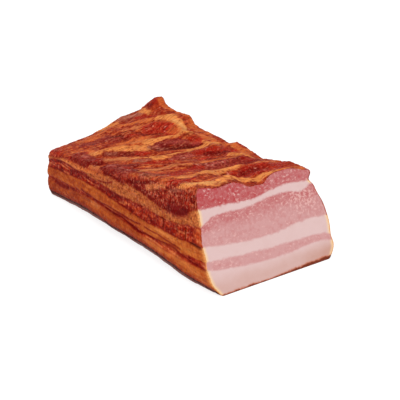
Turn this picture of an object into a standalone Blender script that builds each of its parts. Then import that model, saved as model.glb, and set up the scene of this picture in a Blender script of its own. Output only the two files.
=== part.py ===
"""A slab of smoked bacon, smoked dark on every side but one, which is a fresh knife cut.

The slab is six layers, fat and lean in turn, that run right through it and show as stripes on the cut
and on the smoked sides. Each layer is its own closed solid. The seams between them are surfaces drawn from
their two visible edges, along the left side and across the cut, and the top carries the folds of the crust.

X runs along the slab to the cut, Y across it, Z up from the rind it lies on. The origin is at the centre of
the slab's box, on the base.
"""

import math
from dataclasses import dataclass

import bpy
import numpy as np
from mathutils import Vector
from mathutils.geometry import delaunay_2d_cdt

MM = 0.001

# Driving dimensions, in millimetres.
LENGTH = 195.0  # from the far end to the toe of the cut
WIDTH = 88.0  # across the base
CUT_LEAN = 0.392  # how far the cut leans back for each millimetre of height
CORNER_RADIUS = 6.0  # upright corners of the far end
BASE_RADIUS = 1.2  # the rind's edge, where it turns under
SHOULDER_RADIUS = 3.0  # the smoked edge between the sides and the top
SEAM_GAP = 0.3  # clearance between one layer and the next
LEAST_TOP = 1.3  # the thinnest that the top lean gets
FAR_BULGE = 0.25  # the share of its bulge that the left side has at the far end
FOLDS_END = 0.93  # the share of the length where the folds begin to die out towards the cut

# Steps of the mesh.
STEPS_ALONG = 40
STEPS_ROUND_CORNER = 3
STEPS_ACROSS = 22
FILL_ALONG = 13
FILL_ACROSS = 6

# How far each side stands out from, or leans in from, the upright, at even steps from the base to the top.
LEFT_BULGE = (-3.2, 2.4, 4.4, 3.9, 4.4, 3.0, 2.2, 1.7, 0.2)
RIGHT_LEAN = (0.2, -0.9, -0.8, -0.6, -0.2, 0.9, 2.8, 3.6, 3.2)
FAR_LEAN = (0.6, -0.6, -0.8, -0.4, 0.4, 1.4)
# The dent in the right side, below the top lean, which deepens to the cut.
DENT_DEPTH = 4.2
DENT_MIDDLE = 0.85  # its place, as a share of the height
DENT_SPREAD = 0.09  # its spread, as a share of the height
DENT_START = 0.8  # the share of the length where it begins
# How far the foot of the left side is drawn in, at even steps from the far end to the cut.
LEFT_WAIST = (0.0, 2.6, 1.9, 0.6, -0.5, -3.8, -1.8)


@dataclass(frozen=True)
class Seam:
    """The heights of a surface through the slab, at even steps along each of its edges.

    left and right run from the far end to the cut, which gives each its last height, and cut runs from
    left to right. The far end is straight between its corners, with a sag in the middle. The cut's own
    line dies out with the distance from it, the sooner the higher reach is.
    """

    left: tuple
    right: tuple
    cut: tuple
    sag: float = 0.0
    reach: float = 1.0


@dataclass(frozen=True)
class Fold:
    """A ridge of the crust, or a hollow if height is negative, as a line on the plan with a bow sideways."""

    start: tuple
    end: tuple
    height: float
    half_width: float
    bow: float = 0.0


@dataclass(frozen=True)
class Layer:
    """One layer of fat or lean: its rows up the side, its swell at the sides and its finish."""

    name: str
    rows: int
    swell: float
    colour: tuple
    roughness: float


SEAMS = (
    Seam(
        left=(12.7, 14.6, 17.2, 16.2, 14.0, 13.4),
        right=(12.6, 14.2, 11.8),
        cut=(15.2, 13.0, 11.8, 10.7, 10.3, 10.3, 11.1, 11.4, 10.2),
    ),
    Seam(
        left=(15.1, 17.0, 19.6, 18.6, 16.4, 16.4),
        right=(15.4, 17.0, 14.8),
        cut=(19.6, 18.7, 17.7, 17.0, 16.7, 16.2, 16.0, 15.7, 14.0),
    ),
    Seam(
        left=(21.2, 24.2, 26.2, 25.7, 24.2, 25.0),
        right=(25.2, 25.8, 24.2),
        cut=(27.3, 25.8, 24.5, 23.4, 23.2, 23.6, 25.0, 25.1, 23.9),
    ),
    Seam(
        left=(27.2, 31.7, 31.2, 30.4, 31.5, 31.9),
        right=(42.0, 41.5, 38.5),
        cut=(37.7, 41.3, 41.4, 41.0, 42.0, 43.2, 42.7, 41.4, 44.4),
        sag=-1.5,
    ),
    Seam(
        left=(28.8, 33.9, 35.7, 39.2, 39.7, 37.6),
        right=(46.5, 46.0, 42.0),
        cut=(46.4, 45.7, 45.1, 44.4, 44.3, 45.9, 47.2, 46.1, 45.6),
        sag=-2.2,
    ),
)
TOP = Seam(
    left=(34.0, 35.8, 38.0, 43.2, 49.0, 54.0),
    right=(51.6, 55.6, 52.8, 49.6, 47.6, 48.8),
    cut=(57.6, 56.4, 55.5, 53.6, 50.7, 52.3, 55.0, 54.5, 55.0),
    sag=-2.5,
    reach=6.0,
)

LAYERS = (
    Layer("fat_back", 3, 0.5, (0.80, 0.66, 0.60), 0.45),
    Layer("lean_lower", 1, 0.0, (0.66, 0.33, 0.32), 0.42),
    Layer("fat_middle", 2, 0.6, (0.82, 0.68, 0.64), 0.45),
    Layer("lean_main", 3, -0.5, (0.62, 0.27, 0.27), 0.42),
    Layer("fat_upper", 2, 0.6, (0.82, 0.70, 0.66), 0.45),
    Layer("lean_top", 3, -0.2, (0.50, 0.12, 0.06), 0.40),
)

# The crust's folds, as (x, y) on the plan, from the far end to the cut: ridges first, then hollows.
FOLDS = (
    Fold((-89.0, 35.0), (-85.0, 46.0), 5.0, 7.5),
    Fold((-93.0, 2.0), (-77.0, -1.0), 1.2, 4.0),
    Fold((-58.0, 22.0), (-26.0, 24.0), 2.0, 3.6, bow=5.5),
    Fold((-49.0, -46.0), (-40.0, -37.0), 1.2, 5.0),
    Fold((-55.0, -29.0), (-24.0, 25.0), 2.0, 3.8, bow=3.5),
    Fold((-24.0, 30.0), (2.0, 29.0), 1.5, 3.5),
    Fold((-19.0, -27.0), (3.0, 26.0), 2.0, 3.8, bow=-5.0),
    Fold((-12.0, -31.0), (15.0, -19.0), 1.2, 3.5),
    Fold((19.0, -18.0), (32.0, 28.0), 1.8, 3.8, bow=-2.0),
    Fold((15.0, 29.0), (27.0, 35.0), 2.6, 5.0),
    Fold((57.0, -33.0), (56.0, 27.0), 2.0, 3.8, bow=8.0),
    Fold((70.0, -36.0), (70.0, 20.0), 1.6, 3.6, bow=4.0),
    Fold((-80.0, -20.0), (-60.0, -9.0), -0.8, 4.0),
    Fold((-64.0, -6.0), (-57.0, -4.0), -1.5, 3.6),
    Fold((-54.0, 13.0), (-38.0, 25.0), -1.0, 5.0),
    Fold((-47.0, -24.0), (-22.0, -8.0), -1.0, 3.6),
    Fold((-30.0, 0.0), (-9.0, 24.0), -1.2, 5.0),
    Fold((3.0, 13.0), (17.0, 30.0), -1.2, 4.5),
    Fold((29.0, -3.0), (40.0, 27.0), -1.2, 5.0),
    Fold((52.0, -10.0), (67.0, 34.0), -1.2, 6.0),
)


def along(values, where):
    """The value at a fraction of the way along evenly spaced values, on a smooth curve through them all."""
    span = len(values) - 1
    place = np.clip(where, 0.0, 1.0) * span
    first = np.minimum(place.astype(int), span - 1)
    t = place - first
    known = np.asarray(values, float)
    slopes = np.gradient(known)
    low, high = known[first], known[first + 1]
    rise, fall = slopes[first], slopes[first + 1]
    return (
        low * (1 + 2 * t) * (1 - t) ** 2
        + rise * t * (1 - t) ** 2
        + high * t**2 * (3 - 2 * t)
        - fall * t**2 * (1 - t)
    )


def ease(value):
    """A smooth step from 0 to 1."""
    t = np.clip(value, 0.0, 1.0)
    return t * t * (3 - 2 * t)


def seam_height(seam, a, b):
    """The height of a surface at a fraction a along the slab and b across it.

    It is ruled between the two sides, with the far end's sag and the cut's own line added as they near.
    """
    left = along(seam.left + seam.cut[:1], a)
    right = along(seam.right + seam.cut[-1:], a)
    sag = seam.sag * 4 * b * (1 - b)
    wave = along(seam.cut, b) - (1 - b) * seam.cut[0] - b * seam.cut[-1]
    return (1 - b) * left + b * right + (1 - a) * sag + a**seam.reach * wave


def rounding(distance, radius):
    """How far a rounded edge draws in at a distance from it."""
    short = np.clip(radius - distance, 0.0, radius)
    return radius - np.sqrt(radius * radius - short * short)


def plan(a, b, z, swell=0.0):
    """The place on the plan, at a height, of a fraction a along the slab and b across it."""
    top = top_height(a, b)
    share = np.clip(z / top, 0.0, 1.0)
    tuck = rounding(top - z, SHOULDER_RADIUS) + rounding(z, BASE_RADIUS) - swell
    far = -LENGTH / 2 + along(FAR_LEAN, share) + tuck
    cut = LENGTH / 2 - CUT_LEAN * z
    x = far + a * (cut - far)
    corner = rounding(x - far, CORNER_RADIUS)
    waist = along(LEFT_WAIST, a) * (1 - share) ** 4
    bulge = along(LEFT_BULGE, share) * (FAR_BULGE + (1 - FAR_BULGE) * ease(a * 2))
    left = -WIDTH / 2 - bulge + waist + tuck + corner
    dent = DENT_DEPTH * np.exp(-(((share - DENT_MIDDLE) / DENT_SPREAD) ** 2))
    dent = dent * ease((a - DENT_START) / (1 - DENT_START))
    right = WIDTH / 2 - along(RIGHT_LEAN, share) - dent - tuck - corner
    return x, left + b * (right - left)


def plain_top(a, b):
    """The height of the top without its folds, and its place on the plan."""
    z = seam_height(TOP, a, b)
    x = -LENGTH / 2 + a * (LENGTH - CUT_LEAN * z)
    return x, WIDTH * (b - 0.5), z


def fold_height(fold, x, y):
    """How far a fold lifts the crust at a place on the plan."""
    start, end = np.array(fold.start), np.array(fold.end)
    length = math.dist(fold.start, fold.end)
    unit = (end - start) / length
    t = ((x - start[0]) * unit[0] + (y - start[1]) * unit[1]) / length
    side = (y - start[1]) * unit[0] - (x - start[0]) * unit[1]
    near = np.clip(t, 0.0, 1.0)
    middle = fold.bow * 4 * near * (1 - near)
    distance = np.hypot(side - middle, (near - t) * length)
    return fold.height * np.exp(-((distance / fold.half_width) ** 2))


def top_height(a, b):
    """The height of the crust, with its folds, which end short of the cut."""
    x, y, z = plain_top(a, b)
    folds = sum(fold_height(fold, x, y) for fold in FOLDS)
    fade = 1 - ease((a - FOLDS_END) / (1 - FOLDS_END))
    return np.maximum(z + folds * fade, seam_height(SEAMS[-1], a, b) + LEAST_TOP)


def steps_along():
    """Fractions along the slab: close together round the far corners, then even."""
    turn = np.linspace(0.0, math.pi / 2, STEPS_ROUND_CORNER + 1)
    corner = CORNER_RADIUS * (1 - np.cos(turn)) / LENGTH
    rest = np.linspace(corner[-1], 1.0, STEPS_ALONG + 1)
    return np.concatenate([corner, rest[1:]])


def steps_across():
    """Fractions across the slab."""
    return np.linspace(0.0, 1.0, STEPS_ACROSS + 1)


def rim():
    """The fractions (a, b) once round the slab: left side, cut, right side and far end."""
    a, b = steps_along(), steps_across()
    left = [(value, 0.0) for value in a[:-1]]
    cut = [(1.0, value) for value in b[:-1]]
    right = [(value, 1.0) for value in a[:0:-1]]
    far = [(0.0, value) for value in b[:0:-1]]
    return np.array(left + cut + right + far)


def fill():
    """The points (a, b) of a seam, the rim's first, and its triangles, which face up."""
    edge = rim()
    inside = [
        (a, b)
        for a in np.linspace(0.0, 1.0, FILL_ALONG + 2)[1:-1]
        for b in np.linspace(0.0, 1.0, FILL_ACROSS + 2)[1:-1]
    ]
    points = np.vstack([edge, inside])
    flat = [Vector((a * LENGTH, b * WIDTH)) for a, b in points]
    rim_edges = [(i, (i + 1) % len(edge)) for i in range(len(edge))]
    triangles = delaunay_2d_cdt(flat, rim_edges, [], 1, 1e-6)[2]
    return points, [up_facing(points, triangle) for triangle in triangles]


def up_facing(points, face):
    """The face, turned so that it faces up on the plan of (a, b)."""
    p, q, r = (points[i] for i in face)
    area = (q[0] - p[0]) * (r[1] - p[1]) - (q[1] - p[1]) * (r[0] - p[0])
    return tuple(face) if area > 0 else tuple(reversed(face))


def top_grid(count):
    """The crust's points (a, b), the rim's first, and its faces, on the lines of the rim's own steps."""
    a, b = steps_along(), steps_across()
    last_a, last_b = len(a) - 1, len(b) - 1
    inside = [(a[i], b[j]) for i in range(1, last_a) for j in range(1, last_b)]

    def number(i, j):
        """The number of the point at a step along and a step across."""
        if j == 0:
            return i
        if i == last_a:
            return last_a + j
        if j == last_b:
            return last_a + last_b + (last_a - i)
        if i == 0:
            return 2 * last_a + last_b + (last_b - j)
        return count + (i - 1) * (last_b - 1) + (j - 1)

    faces = [
        (number(i, j), number(i + 1, j), number(i + 1, j + 1), number(i, j + 1))
        for i in range(last_a)
        for j in range(last_b)
    ]
    return np.vstack([rim(), inside]), faces


def layer_height(index, a, b, upper):
    """The height of a layer's lower or upper surface."""
    seam = index if upper else index - 1
    if seam < 0:
        return np.zeros_like(a)
    if seam == len(SEAMS):
        return top_height(a, b)
    offset = -SEAM_GAP / 2 if upper else SEAM_GAP / 2
    return seam_height(SEAMS[seam], a, b) + offset


def row_shares(index):
    """The shares of a layer's height at which its side has a row of points."""
    even = np.linspace(0.0, 1.0, LAYERS[index].rows + 1)
    if index == 0:
        return np.concatenate([[0.0, 0.04], 0.12 + even * 0.88])
    if index == len(LAYERS) - 1:
        return np.concatenate([even * 0.8, [0.94, 1.0]])
    return even


def surface(index, fractions, upper):
    """The places of a layer's lower or upper surface at some fractions (a, b)."""
    a, b = fractions[:, 0], fractions[:, 1]
    z = layer_height(index, a, b, upper)
    return np.column_stack([*plan(a, b, z), z])


def build_layer(index):
    """One layer as a closed mesh: rows of points up its side, a lower surface and an upper one."""
    layer = LAYERS[index]
    ring = rim()
    count = len(ring)
    a, b = ring[:, 0], ring[:, 1]
    low, high = (layer_height(index, a, b, upper) for upper in (False, True))
    blocks = []
    for share in row_shares(index):
        z = low + (high - low) * share
        swell = layer.swell * math.sin(math.pi * share)
        blocks.append(np.column_stack([*plan(a, b, z, swell), z]))
    last_row = (len(blocks) - 1) * count
    faces = [
        (row + i, row + (i + 1) % count, row + count + (i + 1) % count, row + count + i)
        for row in range(0, last_row, count)
        for i in range(count)
    ]
    below, above = fill(), fill() if index < len(SEAMS) else top_grid(count)
    blocks.append(surface(index, below[0][count:], upper=False))
    faces += [tuple(i if i < count else i + last_row for i in reversed(face)) for face in below[1]]
    start = sum(len(block) for block in blocks) - count
    blocks.append(surface(index, above[0][count:], upper=True))
    faces += [tuple(i + last_row if i < count else i + start for i in face) for face in above[1]]
    return make_object(layer, np.vstack(blocks), faces)


def make_material(layer):
    """A plain finish in the layer's own colour."""
    material = bpy.data.materials.new(layer.name)
    material.use_nodes = True
    shader = material.node_tree.nodes["Principled BSDF"]
    shader.inputs["Base Color"].default_value = (*layer.colour, 1.0)
    shader.inputs["Roughness"].default_value = layer.roughness
    shader.inputs["Metallic"].default_value = 0.0
    return material


def make_object(layer, points, faces):
    """A named object of a layer's mesh, in metres."""
    mesh = bpy.data.meshes.new(layer.name)
    mesh.from_pydata((points * MM).tolist(), [], faces)
    mesh.shade_smooth()
    mesh.set_sharp_from_angle(angle=math.radians(50))
    mesh.materials.append(make_material(layer))
    obj = bpy.data.objects.new(layer.name, mesh)
    bpy.context.scene.collection.objects.link(obj)
    return obj


def centre(objects):
    """Moves the meshes so that the origin is at the centre of the slab's box, on the base."""
    corners = np.array([vertex.co for obj in objects for vertex in obj.data.vertices])
    low, high = corners.min(axis=0), corners.max(axis=0)
    middle = (low + high) / 2
    for obj in objects:
        for vertex in obj.data.vertices:
            vertex.co -= Vector((middle[0], middle[1], low[2]))


def main():
    """Clears the scene and builds the slab."""
    for obj in list(bpy.data.objects):
        bpy.data.objects.remove(obj)
    centre([build_layer(index) for index in range(len(LAYERS))])


main()
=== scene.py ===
"""Looks of a slab of smoked bacon: one fine piece for each of its layers of fat and lean.

The slab's whole skin is made first, as rows of points round its sides and its cut and a grid over its
crust. Each point gets its coat, which says how it is smoked, how fat it is and how crumbly, and its relief.
The skin is then parted at the seams between the layers, so that the pieces meet without a step and in one
colour.

Lengths are in millimetres until a mesh is made. X runs along the slab to the cut, Y across it, Z up. A
place on the skin is also given by its fractions: a along the slab, from the far end to the cut, and b
across it.
"""

import logging
import math
from dataclasses import dataclass, field
from enum import Enum

import bpy
import numpy as np
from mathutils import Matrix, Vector
from mathutils.geometry import delaunay_2d_cdt


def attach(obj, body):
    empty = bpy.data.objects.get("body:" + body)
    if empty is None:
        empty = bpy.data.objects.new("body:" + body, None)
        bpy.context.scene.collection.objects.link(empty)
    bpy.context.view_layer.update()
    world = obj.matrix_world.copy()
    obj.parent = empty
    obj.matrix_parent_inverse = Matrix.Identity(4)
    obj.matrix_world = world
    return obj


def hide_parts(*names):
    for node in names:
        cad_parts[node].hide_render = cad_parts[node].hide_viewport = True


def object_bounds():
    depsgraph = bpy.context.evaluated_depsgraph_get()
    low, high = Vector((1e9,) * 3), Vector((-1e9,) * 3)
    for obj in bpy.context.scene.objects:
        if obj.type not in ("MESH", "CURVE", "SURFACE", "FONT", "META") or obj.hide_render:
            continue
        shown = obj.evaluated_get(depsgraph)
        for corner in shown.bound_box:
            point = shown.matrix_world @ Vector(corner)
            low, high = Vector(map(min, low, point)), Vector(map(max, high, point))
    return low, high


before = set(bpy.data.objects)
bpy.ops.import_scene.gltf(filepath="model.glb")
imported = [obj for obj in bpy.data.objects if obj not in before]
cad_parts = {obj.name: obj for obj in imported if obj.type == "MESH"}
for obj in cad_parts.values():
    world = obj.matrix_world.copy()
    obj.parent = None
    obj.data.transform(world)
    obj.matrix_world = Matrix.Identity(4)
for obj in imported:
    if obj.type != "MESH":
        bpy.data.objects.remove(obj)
CAD_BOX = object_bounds()

MM = 0.001
LOG = logging.getLogger("slab")

Array = np.ndarray
Tint = tuple[int, int, int]
Span = tuple[float, float]
Triple = tuple[float, float, float]
Socket = bpy.types.NodeSocket

DOWN: Triple = (0.0, 0.0, -1.0)
UP: Triple = (0.0, 0.0, 1.0)
WHITE = (1.0, 1.0, 1.0, 1.0)
SHORTEST = 1e-12
TRIANGLES_INSIDE = 1
SAME_POINT = 1e-6
NOISE_MIDDLE = 0.5
NUMBER_SOCKETS = (0, 2, 3, 0)
COLOUR_SOCKETS = (0, 6, 7, 2)
SCREEN_WHITE = 255
SCREEN_BREAK = 0.04045
SCREEN_SLOPE = 12.92
SCREEN_OFFSET = 0.055
SCREEN_POWER = 2.4


def unit(value: Array) -> Array:
    """Keeps numbers between 0 and 1."""
    return np.clip(value, 0.0, 1.0)


def mixed(first: Array | float, second: Array | float, share: Array) -> Array:
    """The first where the share is 0, the second where it is 1, and a mix of them between."""
    return first + (second - first) * share


def bell(distance: Array, width: float) -> Array:
    """1 at no distance, about a third at the width, and nearly 0 at twice the width."""
    return np.exp(-((distance / width) ** 2))


def ease(value: Array) -> Array:
    """A smooth step: 0 for what is below 0, 1 for what is above 1, and a smooth rise between."""
    t = unit(value)
    return t * t * (3 - 2 * t)


def along(values: tuple[float, ...], where: Array) -> Array:
    """Reads a smooth curve through evenly spaced values.

    Args:
        values: The curve's values.
        where: Fractions of the way along them.

    Returns:
        The curve's value at each fraction.
    """
    span = len(values) - 1
    place = unit(where) * span
    first = np.minimum(place.astype(int), span - 1)
    t = place - first
    known = np.asarray(values, float)
    slopes = np.gradient(known)
    low, high = known[first], known[first + 1]
    rise, fall = slopes[first], slopes[first + 1]
    return (
        low * (1 + 2 * t) * (1 - t) ** 2
        + rise * t * (1 - t) ** 2
        + high * t**2 * (3 - 2 * t)
        - fall * t**2 * (1 - t)
    )


def rounding(distance: Array, radius: float) -> Array:
    """Works out a rounded edge.

    Args:
        distance: How far each point is from the edge.
        radius: The edge's radius.

    Returns:
        How far the edge draws in at each point.
    """
    short = np.clip(radius - distance, 0.0, radius)
    return radius - np.sqrt(radius * radius - short * short)


@dataclass(frozen=True)
class Rise:
    """A smooth rise from 0 at its start to 1 a length further on, or back for a length below 0."""

    start: float
    length: float

    def at(self, value: Array) -> Array:
        """Reads the rise."""
        return ease((value - self.start) / self.length)


@dataclass(frozen=True)
class Ground:
    """Where grains are read: the points as they lie, and the same points measured along the fibres."""

    points: Array
    run: Array


@dataclass(frozen=True)
class Grain:
    """Smooth seeded noise, worked out for whole arrays of points.

    size is the size of its lumps, for all the axes or for each, and weight is what it is multiplied by.
    """

    seed: int
    size: Triple | float
    weight: float = 1.0

    AXIS_FACTORS = (374761393, 668265263, 2246822519)
    SEED_FACTOR = 40503
    SEED_START = 977
    STIRS = ((15, 2246822519), (13, 3266489917))
    LAST_SHIFT = 16
    SLOPE_SHIFTS = (0, 10, 20)
    SLOPE_MASK = 1023
    FADE = (6, 15, 10)
    HEIGHT = 1.4

    def _share(self, cell: Array, offset: Array) -> Array:
        """Gives what one corner of each cell adds to the noise.

        Args:
            cell: The corner's whole-number place.
            offset: From the corner to the point.

        Returns:
            The slope at the corner times the offset.
        """
        stirred = np.full(len(cell), self.seed * self.SEED_FACTOR + self.SEED_START, np.uint32)
        for axis, factor in enumerate(self.AXIS_FACTORS):
            stirred += cell[:, axis].astype(np.uint32) * np.uint32(factor)
        for shift, factor in self.STIRS:
            stirred ^= stirred >> np.uint32(shift)
            stirred *= np.uint32(factor)
        stirred ^= stirred >> np.uint32(self.LAST_SHIFT)
        total = 0.0
        for axis, shift in enumerate(self.SLOPE_SHIFTS):
            slope = ((stirred >> np.uint32(shift)) & np.uint32(self.SLOPE_MASK)) / (self.SLOPE_MASK / 2) - 1
            total = total + slope * offset[:, axis]
        return total

    def at(self, points: Array) -> Array:
        """Reads the noise.

        Args:
            points: Places, one to a row.

        Returns:
            A value between about -1 and 1 for each point, times the weight.
        """
        scaled = points / np.asarray(self.size, float)
        cell = np.floor(scaled).astype(np.int64)
        t = scaled - cell
        fifth, fourth, third = self.FADE
        fade = t**3 * (t * (t * fifth - fourth) + third)
        total = np.zeros(len(points))
        for corner in np.ndindex(2, 2, 2):
            near = np.where(np.array(corner) == 1, fade, 1 - fade).prod(axis=1)
            total += near * self._share(cell + np.array(corner), t - np.array(corner))
        return self.weight * (total * self.HEIGHT)

    def on(self, ground: Ground) -> Array:
        """Reads the noise at the points as they lie."""
        return self.at(ground.points)


@dataclass(frozen=True)
class Fibre(Grain):
    """Noise that is drawn out along the fibres."""

    def on(self, ground: Ground) -> Array:
        """Reads the noise along the fibres."""
        return self.at(ground.run)


Grains = tuple[Grain, ...]


def total_of(grains: Grains, ground: Ground) -> Array:
    """Adds up grains."""
    return sum(grain.on(ground) for grain in grains)


@dataclass(frozen=True)
class Seam:
    """The heights of a surface through the slab, at even steps along each of its edges.

    left and right run from the far end to the cut, which gives each its last height, and cut runs from
    left to right. The cut's own line dies out with the distance from it, the sooner the higher reach is.
    """

    left: tuple[float, ...]
    right: tuple[float, ...]
    cut: tuple[float, ...]
    sag: float = 0.0
    reach: float = 1.0

    def height(self, a: Array, b: Array) -> Array:
        """Reads the surface.

        Args:
            a: Fractions along the slab.
            b: Fractions across it.

        Returns:
            The heights there.
        """
        left = along(self.left + self.cut[:1], a)
        right = along(self.right + self.cut[-1:], a)
        sag = self.sag * 4 * b * (1 - b)
        wave = along(self.cut, b) - (1 - b) * self.cut[0] - b * self.cut[-1]
        return (1 - b) * left + b * right + (1 - a) * sag + a**self.reach * wave


@dataclass(frozen=True)
class Fold:
    """A ridge of the crust, or a hollow if height is below 0, as a line on the plan with a bow sideways."""

    start: Span
    end: Span
    height: float
    half_width: float
    bow: float = 0.0

    def lift(self, x: Array, y: Array) -> Array:
        """Works out how far the fold lifts the crust.

        Args:
            x: Places along the slab.
            y: Places across it.

        Returns:
            The lift there.
        """
        length = math.dist(self.start, self.end)
        unit_x = (self.end[0] - self.start[0]) / length
        unit_y = (self.end[1] - self.start[1]) / length
        t = ((x - self.start[0]) * unit_x + (y - self.start[1]) * unit_y) / length
        side = (y - self.start[1]) * unit_x - (x - self.start[0]) * unit_y
        near = unit(t)
        middle = self.bow * 4 * near * (1 - near)
        distance = np.hypot(side - middle, (near - t) * length)
        return self.height * bell(distance, self.half_width)


@dataclass(frozen=True)
class SlabForm:
    """The slab's shape, close to that of its solids, before the fine relief.

    The bulges, leans, draws and waist are values at even steps, up the side that they shape or along the
    slab. rim gives the crust's height along its right edge, as pairs of x and height, and far_edge gives it
    across the far end, as pairs of y and height. Each dies out with its reach from that edge.
    """

    length: float = 195.0
    width: float = 88.0
    cut_lean: float = 0.392
    corner_radius: float = 4.5
    base_radius: float = 1.2
    shoulder_radius: float = 3.0
    least_top: float = 1.3
    far_bulge: float = 0.25
    bulge_run: float = 0.5
    folds_end: float = 0.93
    left_bulge: tuple[float, ...] = (-3.2, 2.4, 4.4, 3.9, 4.4, 3.0, 2.2, 1.7, 0.2)
    right_lean: tuple[float, ...] = (0.2, -0.9, -0.8, -0.6, -0.2, 0.9, 2.8, 3.6, 3.2)
    far_lean: tuple[float, ...] = (0.6, -0.6, -0.8, -0.4, 0.4, 1.4)
    cut_draw: tuple[float, ...] = (4.4, 0.4, 0.6, -0.3, -0.3, 0.0, 1.0, 1.2, 1.8)
    dent_depth: float = 2.8
    dent_middle: float = 0.885
    dent_spread: float = 0.05
    dent_start: float = 0.8
    left_waist: tuple[float, ...] = (0.0, 2.6, 1.9, 0.6, -0.5, -3.8, -1.8)
    waist_fade: int = 4
    seams: tuple[Seam, ...] = (
        Seam(
            left=(12.7, 14.6, 17.2, 16.2, 14.0, 13.4),
            right=(12.6, 14.2, 11.8),
            cut=(15.2, 13.0, 11.8, 10.7, 10.3, 10.3, 11.1, 11.4, 10.2),
        ),
        Seam(
            left=(15.1, 17.0, 19.6, 18.6, 16.4, 16.4),
            right=(15.4, 17.0, 14.8),
            cut=(19.6, 18.7, 17.7, 17.0, 16.7, 16.2, 16.0, 15.7, 14.0),
        ),
        Seam(
            left=(21.2, 24.2, 26.2, 25.7, 24.2, 25.0),
            right=(25.2, 25.8, 24.2),
            cut=(27.3, 25.8, 24.5, 23.4, 23.2, 23.6, 25.0, 25.1, 23.9),
        ),
        Seam(
            left=(27.2, 31.7, 31.2, 30.4, 31.5, 31.9),
            right=(42.0, 41.5, 38.5),
            cut=(37.7, 41.3, 41.4, 41.0, 42.0, 43.2, 42.7, 41.4, 44.4),
            sag=-1.5,
        ),
        Seam(
            left=(28.8, 33.9, 35.7, 39.2, 39.7, 37.6),
            right=(46.5, 46.0, 42.0),
            cut=(46.4, 45.7, 45.1, 44.4, 44.3, 45.9, 47.2, 46.1, 45.6),
            sag=-2.2,
        ),
    )
    crust: Seam = Seam(
        left=(34.0, 35.8, 38.0, 43.2, 49.0, 54.0),
        right=(51.6, 55.6, 52.8, 49.6, 47.6, 48.8),
        cut=(
            57.4, 56.7, 55.5, 55.1, 55.8, 55.6, 53.7, 51.3, 51.2,
            50.9, 54.0, 55.1, 55.2, 55.4, 55.3, 54.6, 52.0,
        ),
        sag=-2.5,
        reach=6.0,
    )
    rim: tuple[Span, ...] = (
        (-97, 50.9), (-95, 53.0), (-92, 55.6), (-86, 57.2), (-81, 59.1), (-76, 60.5), (-74, 59.6),
        (-72, 56.7), (-68, 55.2), (-58, 54.1), (-50, 54.6), (-43, 55.0), (-41, 54.0), (-38, 50.4),
        (-30, 48.7), (-8, 48.0), (0, 46.8), (9, 49.8), (16, 49.3), (22, 47.9), (34, 46.1), (44, 47.8),
        (52, 49.3), (61, 51.9), (70, 52.2), (78, 52.0),
    )
    rim_reach: float = 10.0
    far_edge: tuple[Span, ...] = (
        (-44, 32.6), (-27, 34.3), (-15, 36.2), (-3, 38.7), (4, 40.8), (8, 43.3), (14, 45.7), (20, 46.7),
        (25, 47.6), (31, 48.3), (33, 49.7), (37, 50.5),
    )
    far_reach: float = 6.0
    far_edge_span: Span = (-36.0, 33.0)
    crust_inset: float = 4.4
    folds: tuple[Fold, ...] = (
        Fold((-93.0, 2.0), (-77.0, -1.0), 1.2, 4.0),
        Fold((-58.0, 22.0), (-26.0, 24.0), 2.0, 3.6, bow=5.5),
        Fold((-49.0, -46.0), (-40.0, -37.0), 1.2, 5.0),
        Fold((-55.0, -29.0), (-24.0, 25.0), 2.0, 3.8, bow=3.5),
        Fold((-24.0, 30.0), (2.0, 29.0), 1.5, 3.5),
        Fold((-19.0, -27.0), (3.0, 26.0), 2.0, 3.8, bow=-5.0),
        Fold((-12.0, -31.0), (15.0, -19.0), 1.2, 3.5),
        Fold((19.0, -18.0), (32.0, 28.0), 1.8, 3.8, bow=-2.0),
        Fold((15.0, 29.0), (27.0, 35.0), 2.6, 5.0),
        Fold((57.0, -33.0), (56.0, 27.0), 2.0, 3.8, bow=8.0),
        Fold((70.0, -36.0), (70.0, 20.0), 1.6, 3.6, bow=4.0),
        Fold((-80.0, -20.0), (-60.0, -9.0), -0.8, 4.0),
        Fold((-64.0, -6.0), (-57.0, -4.0), -1.5, 3.6),
        Fold((-54.0, 13.0), (-38.0, 25.0), -1.0, 5.0),
        Fold((-47.0, -24.0), (-22.0, -8.0), -1.0, 3.6),
        Fold((-30.0, 0.0), (-9.0, 24.0), -1.2, 5.0),
        Fold((3.0, 13.0), (17.0, 30.0), -1.2, 4.5),
        Fold((29.0, -3.0), (40.0, 27.0), -1.2, 5.0),
        Fold((52.0, -10.0), (67.0, 34.0), -1.2, 6.0),
    )

    def crust_height(self, a: Array, b: Array) -> Array:
        """Reads the height of the crust, with its folds, which end short of the cut.

        Args:
            a: Fractions along the slab.
            b: Fractions across it.

        Returns:
            The heights there.
        """
        z = self.crust.height(a, b)
        x = -self.length / 2 + a * (self.length - self.cut_lean * z)
        y = self.width * (b - 0.5)
        folds = sum(fold.lift(x, y) for fold in self.folds)
        z = z + folds * (1 - Rise(self.folds_end, 1 - self.folds_end).at(a))
        rim_height = np.interp(x + self.crust_inset * (1 - a), *zip(*self.rim))
        z = mixed(z, rim_height, bell((1 - b) * self.width, self.rim_reach))
        far_height = np.interp(mixed(*self.far_edge_span, b), *zip(*self.far_edge))
        z = mixed(z, far_height, bell(a * self.length, self.far_reach))
        return np.maximum(z, self.seams[-1].height(a, b) + self.least_top)

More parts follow.
